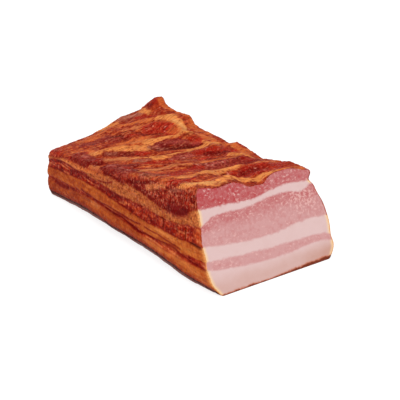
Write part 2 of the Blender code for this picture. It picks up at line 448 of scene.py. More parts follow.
    def place(self, a: Array, b: Array, z: Array, crust: Array) -> tuple[Array, Array]:
        """Finds where points lie on the plan.

        Args:
            a: Fractions along the slab.
            b: Fractions across it.
            z: The points' heights.
            crust: The height of the crust at the same fractions.

        Returns:
            The places along the slab and across it.
        """
        share = unit(z / crust)
        tuck = rounding(crust - z, self.shoulder_radius) + rounding(z, self.base_radius)
        far = -self.length / 2 + along(self.far_lean, share) + tuck
        cut = self.length / 2 - self.cut_lean * z
        x = far + a * (cut - far)
        corner = rounding(x - far, self.corner_radius)
        waist = along(self.left_waist, a) * (1 - share) ** self.waist_fade
        bulge = along(self.left_bulge, share) * mixed(self.far_bulge, 1.0, ease(a / self.bulge_run))
        left = -self.width / 2 - bulge + waist + tuck + corner
        dent = self.dent_depth * bell(share - self.dent_middle, self.dent_spread)
        dent = (dent + along(self.cut_draw, share)) * Rise(self.dent_start, 1 - self.dent_start).at(a)
        right = self.width / 2 - along(self.right_lean, share) - dent - tuck - corner
        return x, left + b * (right - left)


@dataclass
class Skin:
    """The slab's outer skin: rows of points round it, and a grid over its crust, which meets the last row.

    A layer's rows run from its lower seam to its upper one, and the next layer starts on that same row.
    """

    form: SlabForm
    steps_along: int = 336
    steps_round_corner: int = 12
    steps_across: int = 174
    rows: tuple[int, ...] = (30, 9, 16, 38, 16, 24)
    row_crowding: float = 1.35
    ring: Array = field(init=False)
    a: Array = field(init=False)
    b: Array = field(init=False)
    points: Array = field(init=False)
    crust: Array = field(init=False)
    on_crust: Array = field(init=False)
    grid: Array = field(init=False)

    def __post_init__(self) -> None:
        """Lays the ring, the rows and the grid."""
        along_steps, across_steps = self._steps()
        self.grid = self._number_grid(len(along_steps) - 1, len(across_steps) - 1)
        self.ring = self._lay_ring(along_steps, across_steps)
        ring_a, ring_b = self.ring.T
        ring_crust = self.form.crust_height(ring_a, ring_b)
        heights = self._row_heights(ring_a, ring_b, ring_crust)
        inner_a, inner_b = (
            part.ravel() for part in np.meshgrid(along_steps[1:-1], across_steps[1:-1], indexing="ij")
        )
        inner_crust = self.form.crust_height(inner_a, inner_b)
        row_count = len(heights)
        self.a = np.concatenate([np.tile(ring_a, row_count), inner_a])
        self.b = np.concatenate([np.tile(ring_b, row_count), inner_b])
        self.crust = np.concatenate([np.tile(ring_crust, row_count), inner_crust])
        z = np.concatenate([heights.ravel(), inner_crust])
        self.points = np.column_stack([*self.form.place(self.a, self.b, z, self.crust), z])
        self.on_crust = np.arange(len(z)) >= (row_count - 1) * self.count

    @property
    def count(self) -> int:
        """The number of points in a row."""
        return len(self.ring)

    @property
    def on_cut(self) -> Array:
        """Which points lie on the cut, its edges among them."""
        return self.a >= 1.0

    @property
    def from_cut(self) -> Array:
        """How far each point is from the cut, along the slab."""
        return (1 - self.a) * self.form.length

    @property
    def seam_heights(self) -> list[Array]:
        """The height of each seam at each point's fractions, from the lowest seam."""
        return [seam.height(self.a, self.b) for seam in self.form.seams]

    def _steps(self) -> tuple[Array, Array]:
        """Spaces the points.

        Returns:
            Fractions along the slab, close together round the far corners, and fractions across it.
        """
        turn = np.linspace(0.0, math.pi / 2, self.steps_round_corner + 1)
        corner = self.form.corner_radius * (1 - np.cos(turn)) / self.form.length
        rest = np.linspace(corner[-1], 1.0, self.steps_along + 1)
        return np.concatenate([corner, rest[1:]]), np.linspace(0.0, 1.0, self.steps_across + 1)

    def _lay_ring(self, a: Array, b: Array) -> Array:
        """Goes once round the slab: left side, cut, right side and far end.

        Args:
            a: The fractions along.
            b: The fractions across.

        Returns:
            The fractions (a, b) of each point.
        """
        left = np.column_stack([a[:-1], np.zeros(len(a) - 1)])
        cut = np.column_stack([np.ones(len(b) - 1), b[:-1]])
        right = np.column_stack([a[:0:-1], np.ones(len(a) - 1)])
        far = np.column_stack([np.zeros(len(b) - 1), b[:0:-1]])
        return np.vstack([left, cut, right, far])

    def _number_grid(self, last_a: int, last_b: int) -> Array:
        """Numbers the crust's grid: the ring's own numbers round its edge, then the points inside.

        Args:
            last_a: The last step along.
            last_b: The last step across.

        Returns:
            The number of the point at each step along and across, from 0 for the ring's first.
        """
        grid = np.empty((last_a + 1, last_b + 1), int)
        grid[0, :] = 2 * last_a + last_b + (last_b - np.arange(last_b + 1))
        grid[:, last_b] = last_a + last_b + (last_a - np.arange(last_a + 1))
        grid[last_a, :] = last_a + np.arange(last_b + 1)
        grid[:, 0] = np.arange(last_a + 1)
        inside = (last_a - 1) * (last_b - 1)
        grid[1:-1, 1:-1] = 2 * (last_a + last_b) + np.arange(inside).reshape(last_a - 1, last_b - 1)
        return grid

    def _row_heights(self, a: Array, b: Array, crust: Array) -> Array:
        """Works out each row's heights.

        Args:
            a: The ring's fractions along.
            b: The ring's fractions across.
            crust: The crust's height round the ring.

        Returns:
            One row of heights for each row of points, from the base up.
        """
        levels = [np.zeros_like(a), *(seam.height(a, b) for seam in self.form.seams), crust]
        heights = [levels[0]]
        for layer, (low, high) in enumerate(zip(levels, levels[1:])):
            for share in self._row_shares(layer)[1:]:
                heights.append(low + (high - low) * share)
        return np.array(heights)

    def _row_shares(self, layer: int) -> Array:
        """Spaces a layer's rows, closer together at the base's edge and at the shoulder.

        Args:
            layer: The layer's number, from the base up.

        Returns:
            Shares of the layer's height.
        """
        even = np.linspace(0.0, 1.0, self.rows[layer] + 1)
        if layer == 0:
            return even**self.row_crowding
        if layer == len(self.rows) - 1:
            return 1 - (1 - even) ** self.row_crowding
        return even

    def first_row(self, layer: int) -> int:
        """The number of a layer's lowest row."""
        return sum(self.rows[:layer])

    def side_faces(self, first: int, last: int) -> Array:
        """Joins rows with faces that look outwards.

        Args:
            first: The lowest row.
            last: The highest row.

        Returns:
            Four point numbers for each face, from 0 for the lowest row's first point.
        """
        here = np.arange(self.count)
        after = np.roll(here, -1)
        row = np.column_stack([here, after, after + self.count, here + self.count])
        return np.vstack([row + step * self.count for step in range(last - first)])

    def crust_faces(self) -> Array:
        """Four point numbers for each face of the crust, from 0 for the last row's first point."""
        g = self.grid
        return np.stack([g[:-1, :-1], g[1:, :-1], g[1:, 1:], g[:-1, 1:]], axis=-1).reshape(-1, 4)

    def normals(self, points: Array) -> Array:
        """Finds which way the skin faces, smoothly across its seams and edges.

        Args:
            points: The skin's points.

        Returns:
            A unit direction for each point. The base's own row faces down.
        """
        last = sum(self.rows)
        faces = np.vstack([self.side_faces(0, last), self.crust_faces() + last * self.count])
        corners = points[faces]
        facing = np.cross(corners[:, 2] - corners[:, 0], corners[:, 3] - corners[:, 1])
        total = np.zeros_like(points)
        for corner in range(4):
            for axis in range(3):
                total[:, axis] += np.bincount(faces[:, corner], facing[:, axis], len(points))
        total[: self.count] = DOWN
        return total / np.maximum(np.linalg.norm(total, axis=1, keepdims=True), SHORTEST)


class Tone(Enum):
    """The colours of the stripes and lumps on the smoked skin, as a screen shows them."""

    CREAM = (228, 162, 98)
    YELLOW = (224, 138, 72)
    AMBER = (208, 106, 50)
    TAN = (202, 118, 68)
    RUST = (154, 44, 18)
    RED = (164, 30, 16)
    WINE = (100, 8, 6)
    PLUM = (128, 34, 30)
    # painted sheen: a purple-grey reflection on the wet lean
    PAINTED_SHEEN = (158, 90, 72)
    # painted sheen, in mauve
    MAUVE_SHEEN = (170, 76, 66)
    # the near-black of pits, cracks and crevices: their own dark colour and painted shade in them
    PIT_AND_SHADE = (76, 12, 4)
    # a painted highlight, pale pink, on dark lumps
    PAINTED_HIGHLIGHT = (206, 134, 114)
    # pale spots painted as highlights
    HIGHLIGHT_SPOT = (210, 128, 98)
    # painted glints
    GLINT = (226, 158, 136)

    @property
    def is_meat(self) -> bool:
        """Whether this is a tone of lean."""
        return self in (Tone.RUST, Tone.RED, Tone.WINE, Tone.PLUM, Tone.PAINTED_SHEEN, Tone.MAUVE_SHEEN, Tone.PIT_AND_SHADE)


@dataclass(frozen=True)
class Mark:
    """A stripe or lump of one tone, along a few points of the plan, or of a side's (x, z)."""

    tone: Tone
    path: tuple[Span, ...]
    half_width: float
    strength: float = 0.9
    lift: float = 0.0

    FULLNESS = 1.6

    def share(self, u: Array, v: Array) -> Array:
        """Works out how much of the mark shows at points.

        Args:
            u: The points' first measure, along the slab.
            v: Their second measure, across the slab or up it.

        Returns:
            1 on the mark, falling smoothly to 0 beside it.
        """
        nearest = np.full(len(u), np.inf)
        for (u0, v0), (u1, v1) in zip(self.path, self.path[1:]):
            run_u, run_v = u1 - u0, v1 - v0
            t = ((u - u0) * run_u + (v - v0) * run_v) / (run_u**2 + run_v**2)
            t = unit(t)
            nearest = np.minimum(nearest, np.hypot(u - u0 - t * run_u, v - v0 - t * run_v))
        return unit(self.FULLNESS * bell(nearest, self.half_width))


# Marks in the purple-grey and mauve tones are painted sheen, and the pale pink ones painted highlights.
CRUST_MARKS = (
    # the far zone and the flap
    Mark(Tone.PAINTED_SHEEN, ((-92, 13), (-90, 19), (-86, 23), (-80, 26)), 3.2, 0.9),
    Mark(Tone.PAINTED_HIGHLIGHT, ((-91, 16), (-88, 22)), 1.8, 0.4),
    Mark(Tone.PLUM, ((-88, 7), (-86, 13), (-82, 19)), 1.8, 0.6),
    Mark(Tone.AMBER, ((-88, -25), (-84, -20), (-81, -14)), 2.6, 0.7),
    Mark(Tone.AMBER, ((-89, -14), (-86, -4), (-87, 3), (-81, 5)), 3.4, 0.8, 0.3),
    Mark(Tone.YELLOW, ((-95, -3), (-93, 3), (-89, 6)), 3.6, 0.9, 0.5),
    Mark(Tone.AMBER, ((-76, 9), (-72, 13), (-69, 17), (-64, 20)), 2.8, 0.9, 0.4),
    Mark(Tone.RED, ((-80, 19), (-73, 22), (-66, 25)), 1.7, 0.8, -0.2),
    Mark(Tone.PLUM, ((-76, -26), (-74, -19), (-73, -14), (-70, -10), (-63, -8)), 3.4, 0.85, 0.3),
    Mark(Tone.TAN, ((-68, 3), (-63, 9), (-58, 13)), 3.4, 0.6),
    Mark(Tone.PIT_AND_SHADE, ((-69, -7), (-66, -4)), 1.4, 0.8, -0.5),
    Mark(Tone.WINE, ((-63, -4), (-57, -4)), 1.6, 1.0, -0.5),
    Mark(Tone.WINE, ((-69, -6), (-69, -1), (-66, 3), (-62, 6)), 0.8, 0.8, -0.2),
    Mark(Tone.RED, ((-61, -3), (-56, 2), (-54, 8)), 1.5, 0.8),
    Mark(Tone.RED, ((-92, -41), (-83, -44)), 3.6, 0.8),
    Mark(Tone.WINE, ((-76, -45), (-67, -45)), 1.8, 0.8),
    Mark(Tone.AMBER, ((-92, 33), (-88, 31)), 2.6, 0.8, 0.2),
    Mark(Tone.RUST, ((-88, 36), (-82, 33), (-76, 33), (-72, 35)), 5.0, 1.0, 0.2),
    Mark(Tone.RED, ((-84, 33), (-77, 33)), 2.6, 0.8),
    Mark(Tone.AMBER, ((-74, 36), (-68, 37), (-62, 38)), 2.4, 0.8, 0.2),
    Mark(Tone.WINE, ((-82, 30), (-77, 30)), 1.3, 0.6, -0.3),
    Mark(Tone.YELLOW, ((-85, 26), (-80, 26), (-74, 26)), 1.7, 0.95, 0.3),
    # the first hollow and the arc round it
    Mark(Tone.RED, ((-56, 13), (-49, 17), (-43, 20), (-37, 22)), 4.6, 0.95),
    Mark(Tone.WINE, ((-57, 5), (-50, 8), (-44, 13)), 1.3, 0.8, -0.3),
    Mark(Tone.AMBER, ((-40, 20), (-34, 22)), 2.4, 0.7),
    Mark(Tone.YELLOW, ((-60, 24), (-55, 28), (-51, 30)), 2.8, 0.95, 0.5),
    Mark(Tone.YELLOW, ((-55, 27), (-49, 28), (-42, 28), (-36, 27), (-30, 25), (-25, 23)), 3.6, 0.95, 0.6),
    Mark(Tone.CREAM, ((-47, 28), (-40, 28), (-33, 26), (-28, 24)), 1.6, 0.8),
    Mark(Tone.RUST, ((-46, 33), (-40, 33), (-36, 32), (-31, 29), (-26, 26)), 1.3, 0.85, -0.3),
    Mark(Tone.AMBER, ((-56, 38), (-44, 39), (-36, 38)), 2.4, 0.8, 0.2),
    Mark(Tone.AMBER, ((-34, 34), (-26, 36), (-19, 38)), 3.0, 0.7),
    # the second band
    Mark(Tone.AMBER, ((-52, -8), (-42, 0)), 6.0, 0.8),
    Mark(Tone.TAN, ((-46, -6), (-36, 2), (-30, 8)), 3.2, 0.55),
    Mark(Tone.YELLOW, ((-37, -1), (-33, 4), (-32, 11), (-28, 17), (-24, 23)), 3.2, 1.0, 0.5),
    Mark(
        Tone.YELLOW, ((-57, -33), (-52, -28), (-47, -21), (-42, -15), (-38, -10), (-32, -6)), 3.4, 0.95, 0.5
    ),
    Mark(Tone.AMBER, ((-66, -34), (-60, -31)), 3.0, 0.8, 0.3),
    Mark(Tone.WINE, ((-47, -27), (-45, -23), (-41, -20), (-36, -17), (-31, -13)), 2.4, 0.85, -0.2),
    Mark(Tone.PAINTED_SHEEN, ((-47, -26), (-44, -21)), 1.3, 0.7),
    Mark(Tone.RED, ((-32, -13), (-26, -8)), 2.0, 0.8),
    # the first dark patch
    Mark(Tone.PLUM, ((-29, 2), (-26, 8), (-21, 14), (-15, 17), (-8, 21)), 2.4, 1.0, 0.3),
    Mark(Tone.WINE, ((-23, 1), (-18, 7), (-14, 12), (-10, 17), (-6, 20)), 4.0, 1.0, -0.2),
    Mark(Tone.RED, ((-15, 21), (-8, 25)), 2.8, 0.85),
    Mark(Tone.PAINTED_SHEEN, ((-31, -3), (-27, 0), (-22, 3)), 2.2, 0.8),
    Mark(Tone.MAUVE_SHEEN, ((-26, 8), (-21, 14), (-16, 17), (-10, 21)), 1.2, 0.6, 0.2),
    Mark(Tone.PIT_AND_SHADE, ((-29, -3), (-25, 1)), 0.7, 0.8, -0.2),
    Mark(Tone.PIT_AND_SHADE, ((-22, 4), (-17, 8), (-13, 12), (-10, 16)), 1.8, 0.6, -0.2),
    # the third band
    Mark(Tone.TAN, ((-38, -34), (-34, -29), (-31, -25), (-25, -23), (-19, -20)), 2.8, 1.0, 0.5),
    Mark(Tone.AMBER, ((-21, 28), (-14, 30), (-8, 31), (-2, 32), (3, 32)), 2.4, 0.9, 0.3),
    Mark(Tone.YELLOW, ((-8, 25), (2, 25)), 2.2, 0.8, 0.2),
    Mark(Tone.PAINTED_SHEEN, ((-13, -26), (-9, -22), (-7, -17)), 1.7, 0.9, 0.2),
    Mark(Tone.RED, ((-7, -29), (-4, -22), (-2, -16), (1, -9)), 2.4, 0.95),
    Mark(Tone.WINE, ((-16, -33), (-10, -32), (-5, -30)), 2.2, 0.8),
    Mark(Tone.YELLOW, ((-19, -20), (-13, -17), (-6, -13), (-3, -7), (-2, -1)), 3.2, 1.0, 0.5),
    Mark(Tone.YELLOW, ((-2, -1), (-3, 7), (-4, 14), (-4, 19), (-3, 24), (-1, 29)), 2.5, 1.0, 0.4),
    # the second dark patch
    Mark(Tone.PLUM, ((2, -5), (4, 2), (6, 8), (6, 15)), 2.8, 0.85),
    Mark(Tone.MAUVE_SHEEN, ((1, -9), (4, -2), (6, 6), (9, 13)), 1.3, 0.7, 0.2),
    Mark(Tone.RED, ((14, 2), (15, 9), (15, 15)), 1.9, 0.9),
    Mark(Tone.RED, ((4, 11), (8, 18), (12, 23), (17, 28)), 4.2, 0.9),
    Mark(Tone.WINE, ((8, 15), (12, 20), (17, 24)), 2.0, 0.8, -0.2),
    Mark(Tone.PAINTED_SHEEN, ((6, -3), (13, 2)), 2.4, 0.5),
    Mark(Tone.PIT_AND_SHADE, ((12, 32), (15, 33)), 1.2, 0.8, -0.3),
    # the fourth band and the lump at its end
    Mark(Tone.TAN, ((9, -40), (10, -33), (15, -27), (18, -21), (20, -15), (23, -10)), 2.8, 0.85, 0.4),
    Mark(Tone.PAINTED_SHEEN, ((20, -42), (28, -40), (33, -36)), 3.2, 0.75, 0.3),
    Mark(Tone.WINE, ((27, -39), (32, -34)), 1.5, 0.7),
    Mark(Tone.AMBER, ((23, -10), (21, -2), (21, 6), (22, 11), (24, 17), (27, 22)), 1.5, 0.9, 0.3),
    Mark(Tone.YELLOW, ((22, 22), (27, 26), (30, 29), (34, 31), (38, 32)), 1.9, 0.95, 0.4),
    Mark(Tone.AMBER, ((5, 35), (12, 34), (18, 34), (26, 31)), 2.2, 0.9, 0.3),
    Mark(Tone.RED, ((8, 39), (17, 39)), 2.0, 0.5),
    # the third dark patch
    Mark(Tone.PLUM, ((29, -6), (31, 4), (33, 12), (36, 20), (39, 28)), 4.2, 0.9, 0.2),
    Mark(Tone.WINE, ((27, 11), (30, 17), (33, 22)), 2.0, 0.85, -0.2),
    Mark(Tone.MAUVE_SHEEN, ((29, -5), (31, 2), (33, 10)), 1.7, 0.8, 0.2),
    Mark(Tone.RED, ((34, 22), (37, 28)), 2.0, 0.8),
    Mark(Tone.AMBER, ((49, 3), (46, 11), (45, 18), (46, 26), (47, 33), (49, 38)), 2.0, 0.9, 0.3),
    # the fifth band
    Mark(Tone.RED, ((36, -33), (33, -26), (31, -19), (30, -12), (29, -7)), 3.0, 0.9),
    Mark(
        Tone.YELLOW,
        ((46, -37), (48, -30), (49, -24), (50, -17), (48, -9), (47, -3), (49, 3)),
        4.2, 1.0, 0.7,
    ),
    Mark(Tone.AMBER, ((42, -45), (45, -41), (46, -37)), 2.2, 0.95, 0.3),
    Mark(Tone.RED, ((56, 0), (57, 7), (58, 14), (60, 20), (60, 27), (59, 34)), 4.8, 0.95),
    Mark(Tone.RED, ((63, 2), (67, 9), (69, 17), (69, 26)), 3.4, 0.9),
    Mark(Tone.WINE, ((56, 5), (59, 12), (62, 18)), 2.8, 0.7, -0.3),
    Mark(Tone.RUST, ((58, -27), (58, -16), (54, -6)), 1.7, 0.85, -0.3),
    Mark(Tone.AMBER, ((62, -30), (62, -18), (60, -9)), 1.6, 0.8, 0.2),
    Mark(Tone.RED, ((49, -46), (53, -43), (56, -39), (56, -33)), 2.4, 1.0),
    Mark(Tone.WINE, ((50, -46), (57, -45), (61, -43), (63, -38)), 1.3, 0.8),
    # the lip along the cut and the hollow behind it
    Mark(Tone.YELLOW, ((63, -44), (67, -39), (70, -33), (71, -28), (71, -21), (68, -13)), 3.2, 1.0, 0.6),
    Mark(Tone.YELLOW, ((68, -13), (69, -5), (72, 3), (75, 9), (76, 14), (77, 22)), 2.1, 1.0, 0.5),
    Mark(Tone.CREAM, ((66, -41), (70, -34), (71, -25)), 1.6, 0.6),
    Mark(Tone.RUST, ((74, -18), (75, -9), (76, -3), (77, 3)), 2.2, 0.9, -0.3),
    Mark(Tone.AMBER, ((75, 17), (76, 25), (76, 34)), 1.4, 0.9, 0.2),
    Mark(Tone.RUST, ((62, 35), (69, 38)), 3.0, 0.6),
    # the upper fat where it comes up over the left shoulder
    Mark(Tone.TAN, ((-46, -45), (-38, -44), (-32, -44), (-27, -45)), 3.0, 0.95, 0.3),
    Mark(Tone.YELLOW, ((-42, -44), (-36, -44)), 1.6, 0.6),
    # the lumps over the left shoulder
    Mark(Tone.RED, ((-66, -43), (-64, -38), (-60, -34)), 1.8, 0.9, 0.2),
    Mark(Tone.PLUM, ((-62, -39), (-52, -39), (-40, -38)), 4.4, 0.9, 0.9),
    Mark(Tone.PAINTED_HIGHLIGHT, ((-57, -38), (-53, -37)), 1.2, 0.5, 0.2),
    Mark(Tone.WINE, ((-64, -43), (-52, -44), (-42, -43), (-36, -41), (-35, -37)), 1.5, 0.9, -0.3),
    Mark(Tone.RED, ((-42, -38), (-37, -37)), 1.4, 0.8),
    Mark(Tone.PLUM, ((-24, -38), (-14, -38), (-5, -39), (4, -41)), 4.6, 0.9, 0.8),
    Mark(Tone.PAINTED_HIGHLIGHT, ((-24, -38), (-19, -38)), 1.2, 0.55, 0.2),
    Mark(Tone.WINE, ((-15, -35), (-14, -39), (-11, -43)), 0.9, 0.8, -0.3),
    Mark(Tone.PAINTED_HIGHLIGHT, ((-10, -38), (-7, -39)), 1.1, 0.5, 0.2),
    Mark(Tone.WINE, ((-4, -34), (-4, -38), (-2, -42)), 1.0, 0.85, -0.3),
    Mark(Tone.WINE, ((8, -38), (8, -42)), 1.2, 0.8, -0.2),
    Mark(Tone.WINE, ((-28, -40), (-22, -43), (-15, -45), (-8, -45)), 1.7, 0.9, -0.3),
    Mark(Tone.RED, ((-8, -36), (-2, -38), (3, -40)), 1.8, 0.7),
)

LEFT_MARKS = (
    # the lower streaks of lean
    Mark(Tone.WINE, ((-84, 13), (-73, 13), (-66, 14.5)), 1.1, 0.85, -0.2),
    Mark(Tone.WINE, ((-60, 16), (-57, 16)), 0.9, 0.8),
    Mark(Tone.WINE, ((-46, 20), (-41, 19), (-34, 19)), 0.9, 0.8),
    Mark(Tone.WINE, ((-13, 17), (4, 17), (12, 16), (24, 15), (36, 16)), 0.55, 0.8, -0.4),
    Mark(Tone.WINE, ((36, 16), (47, 17), (59, 18), (71, 16), (82, 15), (91, 15)), 0.55, 0.75, -0.3),
    Mark(Tone.WINE, ((-31, 18), (-12, 20), (5, 20), (14, 19), (25, 20)), 0.5, 0.75, -0.3),
    Mark(Tone.WINE, ((30, 20), (44, 20), (66, 19)), 0.45, 0.6, -0.2),
    Mark(Tone.WINE, ((0, 18.4), (11, 19)), 1.0, 0.6),
    Mark(Tone.YELLOW, ((-33, 15), (-24, 15)), 1.4, 0.4),
    Mark(Tone.YELLOW, ((31, 13), (42, 12), (63, 14), (84, 11)), 1.8, 0.35),
    # the step and the pits of the middle fat
    Mark(Tone.PIT_AND_SHADE, ((15, 22.8), (16, 26.2)), 0.45, 0.7, -0.5),
    Mark(Tone.PIT_AND_SHADE, ((22, 24.4), (23.4, 24.2)), 0.4, 0.8, -0.3),
    Mark(Tone.PIT_AND_SHADE, ((29, 24), (30, 24)), 0.35, 0.8, -0.3),
    Mark(Tone.PIT_AND_SHADE, ((55, 22), (56, 22)), 0.35, 0.8, -0.3),
    Mark(Tone.PIT_AND_SHADE, ((63, 24), (64, 24)), 0.35, 0.8, -0.3),
    Mark(Tone.YELLOW, ((43, 23.6), (60, 23)), 1.3, 0.5, 0.2),
    # the cracks and dark lumps of the main lean
    Mark(Tone.WINE, ((-60, 29), (-50, 30), (-42, 29)), 1.2, 0.5),
    Mark(Tone.WINE, ((-22, 28), (-10, 29), (2, 28)), 1.4, 0.5),
    Mark(Tone.PIT_AND_SHADE, ((47.6, 31.6), (48.6, 26.8)), 0.5, 0.85, -0.8),
    Mark(Tone.PIT_AND_SHADE, ((61.6, 32), (62.4, 28)), 0.4, 0.6, -0.5),
    Mark(Tone.PIT_AND_SHADE, ((69.4, 33), (70.6, 26.4)), 0.5, 0.85, -0.9),
    # a painted shadow line under the overhang near the cut
    Mark(Tone.PIT_AND_SHADE, ((76, 26.2), (82, 26.4), (90, 26.6)), 0.6, 0.8, -0.5),
    # the upper fat's folds
    Mark(Tone.WINE, ((-30, 36), (-21, 38), (-13, 39)), 0.5, 0.7, -0.4),
    Mark(Tone.WINE, ((-26, 32), (-17, 33), (-9, 36)), 0.5, 0.7, -0.3),
    Mark(Tone.WINE, ((-22, 38.6), (-16, 39.6), (-10, 39), (-2, 39), (4, 39)), 0.8, 0.85, -0.5),
    Mark(Tone.WINE, ((-66, 34.4), (-58, 35), (-50, 35.4), (-44, 36)), 0.8, 0.85, -0.4),
    Mark(Tone.YELLOW, ((-74, 32.4), (-66, 32.4), (-58, 31.6), (-50, 32)), 1.0, 0.6, 0.2),
    Mark(Tone.AMBER, ((-69, 33.4), (-50, 33.6), (-36, 34.6), (-22, 37)), 1.2, 0.5, 0.2),
    # the dark edge of the crust, and the dark lump by the cut with painted shade under it
    Mark(Tone.WINE, ((8, 42), (18, 41), (25, 40), (33, 39), (41, 38), (53, 38)), 1.0, 0.7, -0.4),
    Mark(Tone.WINE, ((53, 39.6), (60, 39.8), (66, 41.4), (70, 43)), 2.4, 1.0, 0.7),
    Mark(Tone.PLUM, ((55, 41.2), (62, 42)), 0.9, 0.5, 0.2),
    Mark(Tone.WINE, ((10, 42), (16, 43.6), (23, 45.2), (31, 47.8), (36, 49.8)), 0.8, 0.9, -0.4),
    Mark(Tone.TAN, ((29, 44.4), (34, 46.2), (39, 47.8)), 1.7, 0.8, 0.2),
    Mark(Tone.TAN, ((41, 49.4), (46, 50)), 1.2, 0.8, 0.2),
    # painted sheen at the top of the left side
    Mark(Tone.PAINTED_SHEEN, ((52, 49.4), (58, 51.4), (62, 52.6)), 1.1, 0.7),
    Mark(Tone.YELLOW, ((57, 53.2), (64, 54.8)), 0.7, 0.8, 0.2),
)


@dataclass(frozen=True)
class Coat:
    """What the skin looks like at each of its points.

    Attributes:
        smoke: The smoked skin's colour, as a screen shows it.
        lift: What the stripes and lumps add to the relief.
        top: 1 on the crust and 0 on the sides.
        flow: The place across the fibres of the crust.
        crumb: How grainy the skin is.
        fat: Above 0 in fat and below it in lean, in millimetres from the border between them.
        depth: How far inside the smoked skin a point of the cut lies.
        rind: The height above the rind's upper edge.
        red: How deep the red of cut lean is.
        fleck: How many pale flecks cut lean has.
        beige: Where cut fat is beige.
    """

    smoke: Array
    lift: Array
    top: Array
    flow: Array
    crumb: Array
    fat: Array
    depth: Array
    rind: Array
    red: Array
    fleck: Array
    beige: Array

    NUMBERS = ("top", "flow", "crumb", "fat", "depth", "rind", "red", "fleck", "beige")


def tinted(light: Array, tints: tuple[Tint, ...]) -> Array:
    """Reads a row of tints, from dark to light, at brightnesses from 0 to 1."""
    steps = np.linspace(0.0, 1.0, len(tints))
    return np.column_stack([np.interp(light, steps, channel) for channel in zip(*tints)])


@dataclass(frozen=True)
class Specks:
    """Small spots of a tone, where a grain times the gain passes the start."""

    tone: Tone
    gain: float
    start: float
    strength: float = 1.0
    most: float = 1.0

    def share(self, grain: Array) -> Array:
        """Works out how much of them shows."""
        return self.strength * np.clip(grain * self.gain - self.start, 0.0, self.most)


@dataclass(frozen=True)
class Lines:
    """Thin lines of a tone, where a grain crosses 0, that show only where another noise passes -start."""

    tone: Tone
    grain: Grain
    width: float
    start: float = 1.0
    strength: float = 1.0

    def share(self, ground: Ground, noise: Array | float = 0.0) -> Array:
        """Works out how much of them shows."""
        return self.strength * bell(self.grain.on(ground), self.width) * unit(self.start + noise)


@dataclass
class Painting:
    """Colours of the smoked skin, as a screen shows them, that more is laid over step by step.

    The breaks are dark pits and pale spots painted as highlights. The glints are fine pits and painted
    glints, each with its share on fat and on meat.
    """

    colour: Array

    BREAKS = (Specks(Tone.WINE, -1.0, 0.1, most=0.9), Specks(Tone.HIGHLIGHT_SPOT, 1.0, 0.2, 0.75, 0.9))
    GLINTS = (
        (Specks(Tone.PIT_AND_SHADE, -3.6, 1.0, 0.7), (0.3, 1.0)),
        (Specks(Tone.GLINT, 3.6, 1.1, 0.7), (0.15, 1.0)),
    )

    def lay(self, tone: Tone, share: Array) -> None:
        """Lays a tone over the colours."""
        self.colour = mixed(self.colour, np.array(tone.value, float), share[:, None])

    def scatter(self, specks: Specks, grain: Array, share: Array) -> None:
        """Lays specks over the colours."""
        self.lay(specks.tone, specks.share(grain) * share)

    def shade(self, amount: Array) -> None:
        """Multiplies the colours."""
        self.colour = self.colour * amount[:, None]

    def break_up(self, grain: Array, share: Array) -> None:
        """Breaks the colours up with dark pits and pale spots painted as highlights."""
        for specks in self.BREAKS:
            self.scatter(specks, grain, share)

    def glint(self, grain: Array, meat: Array) -> None:
        """Adds fine pits and painted glints, most of them on meat."""
        for specks, shares in self.GLINTS:
            self.scatter(specks, grain, mixed(*shares, meat))


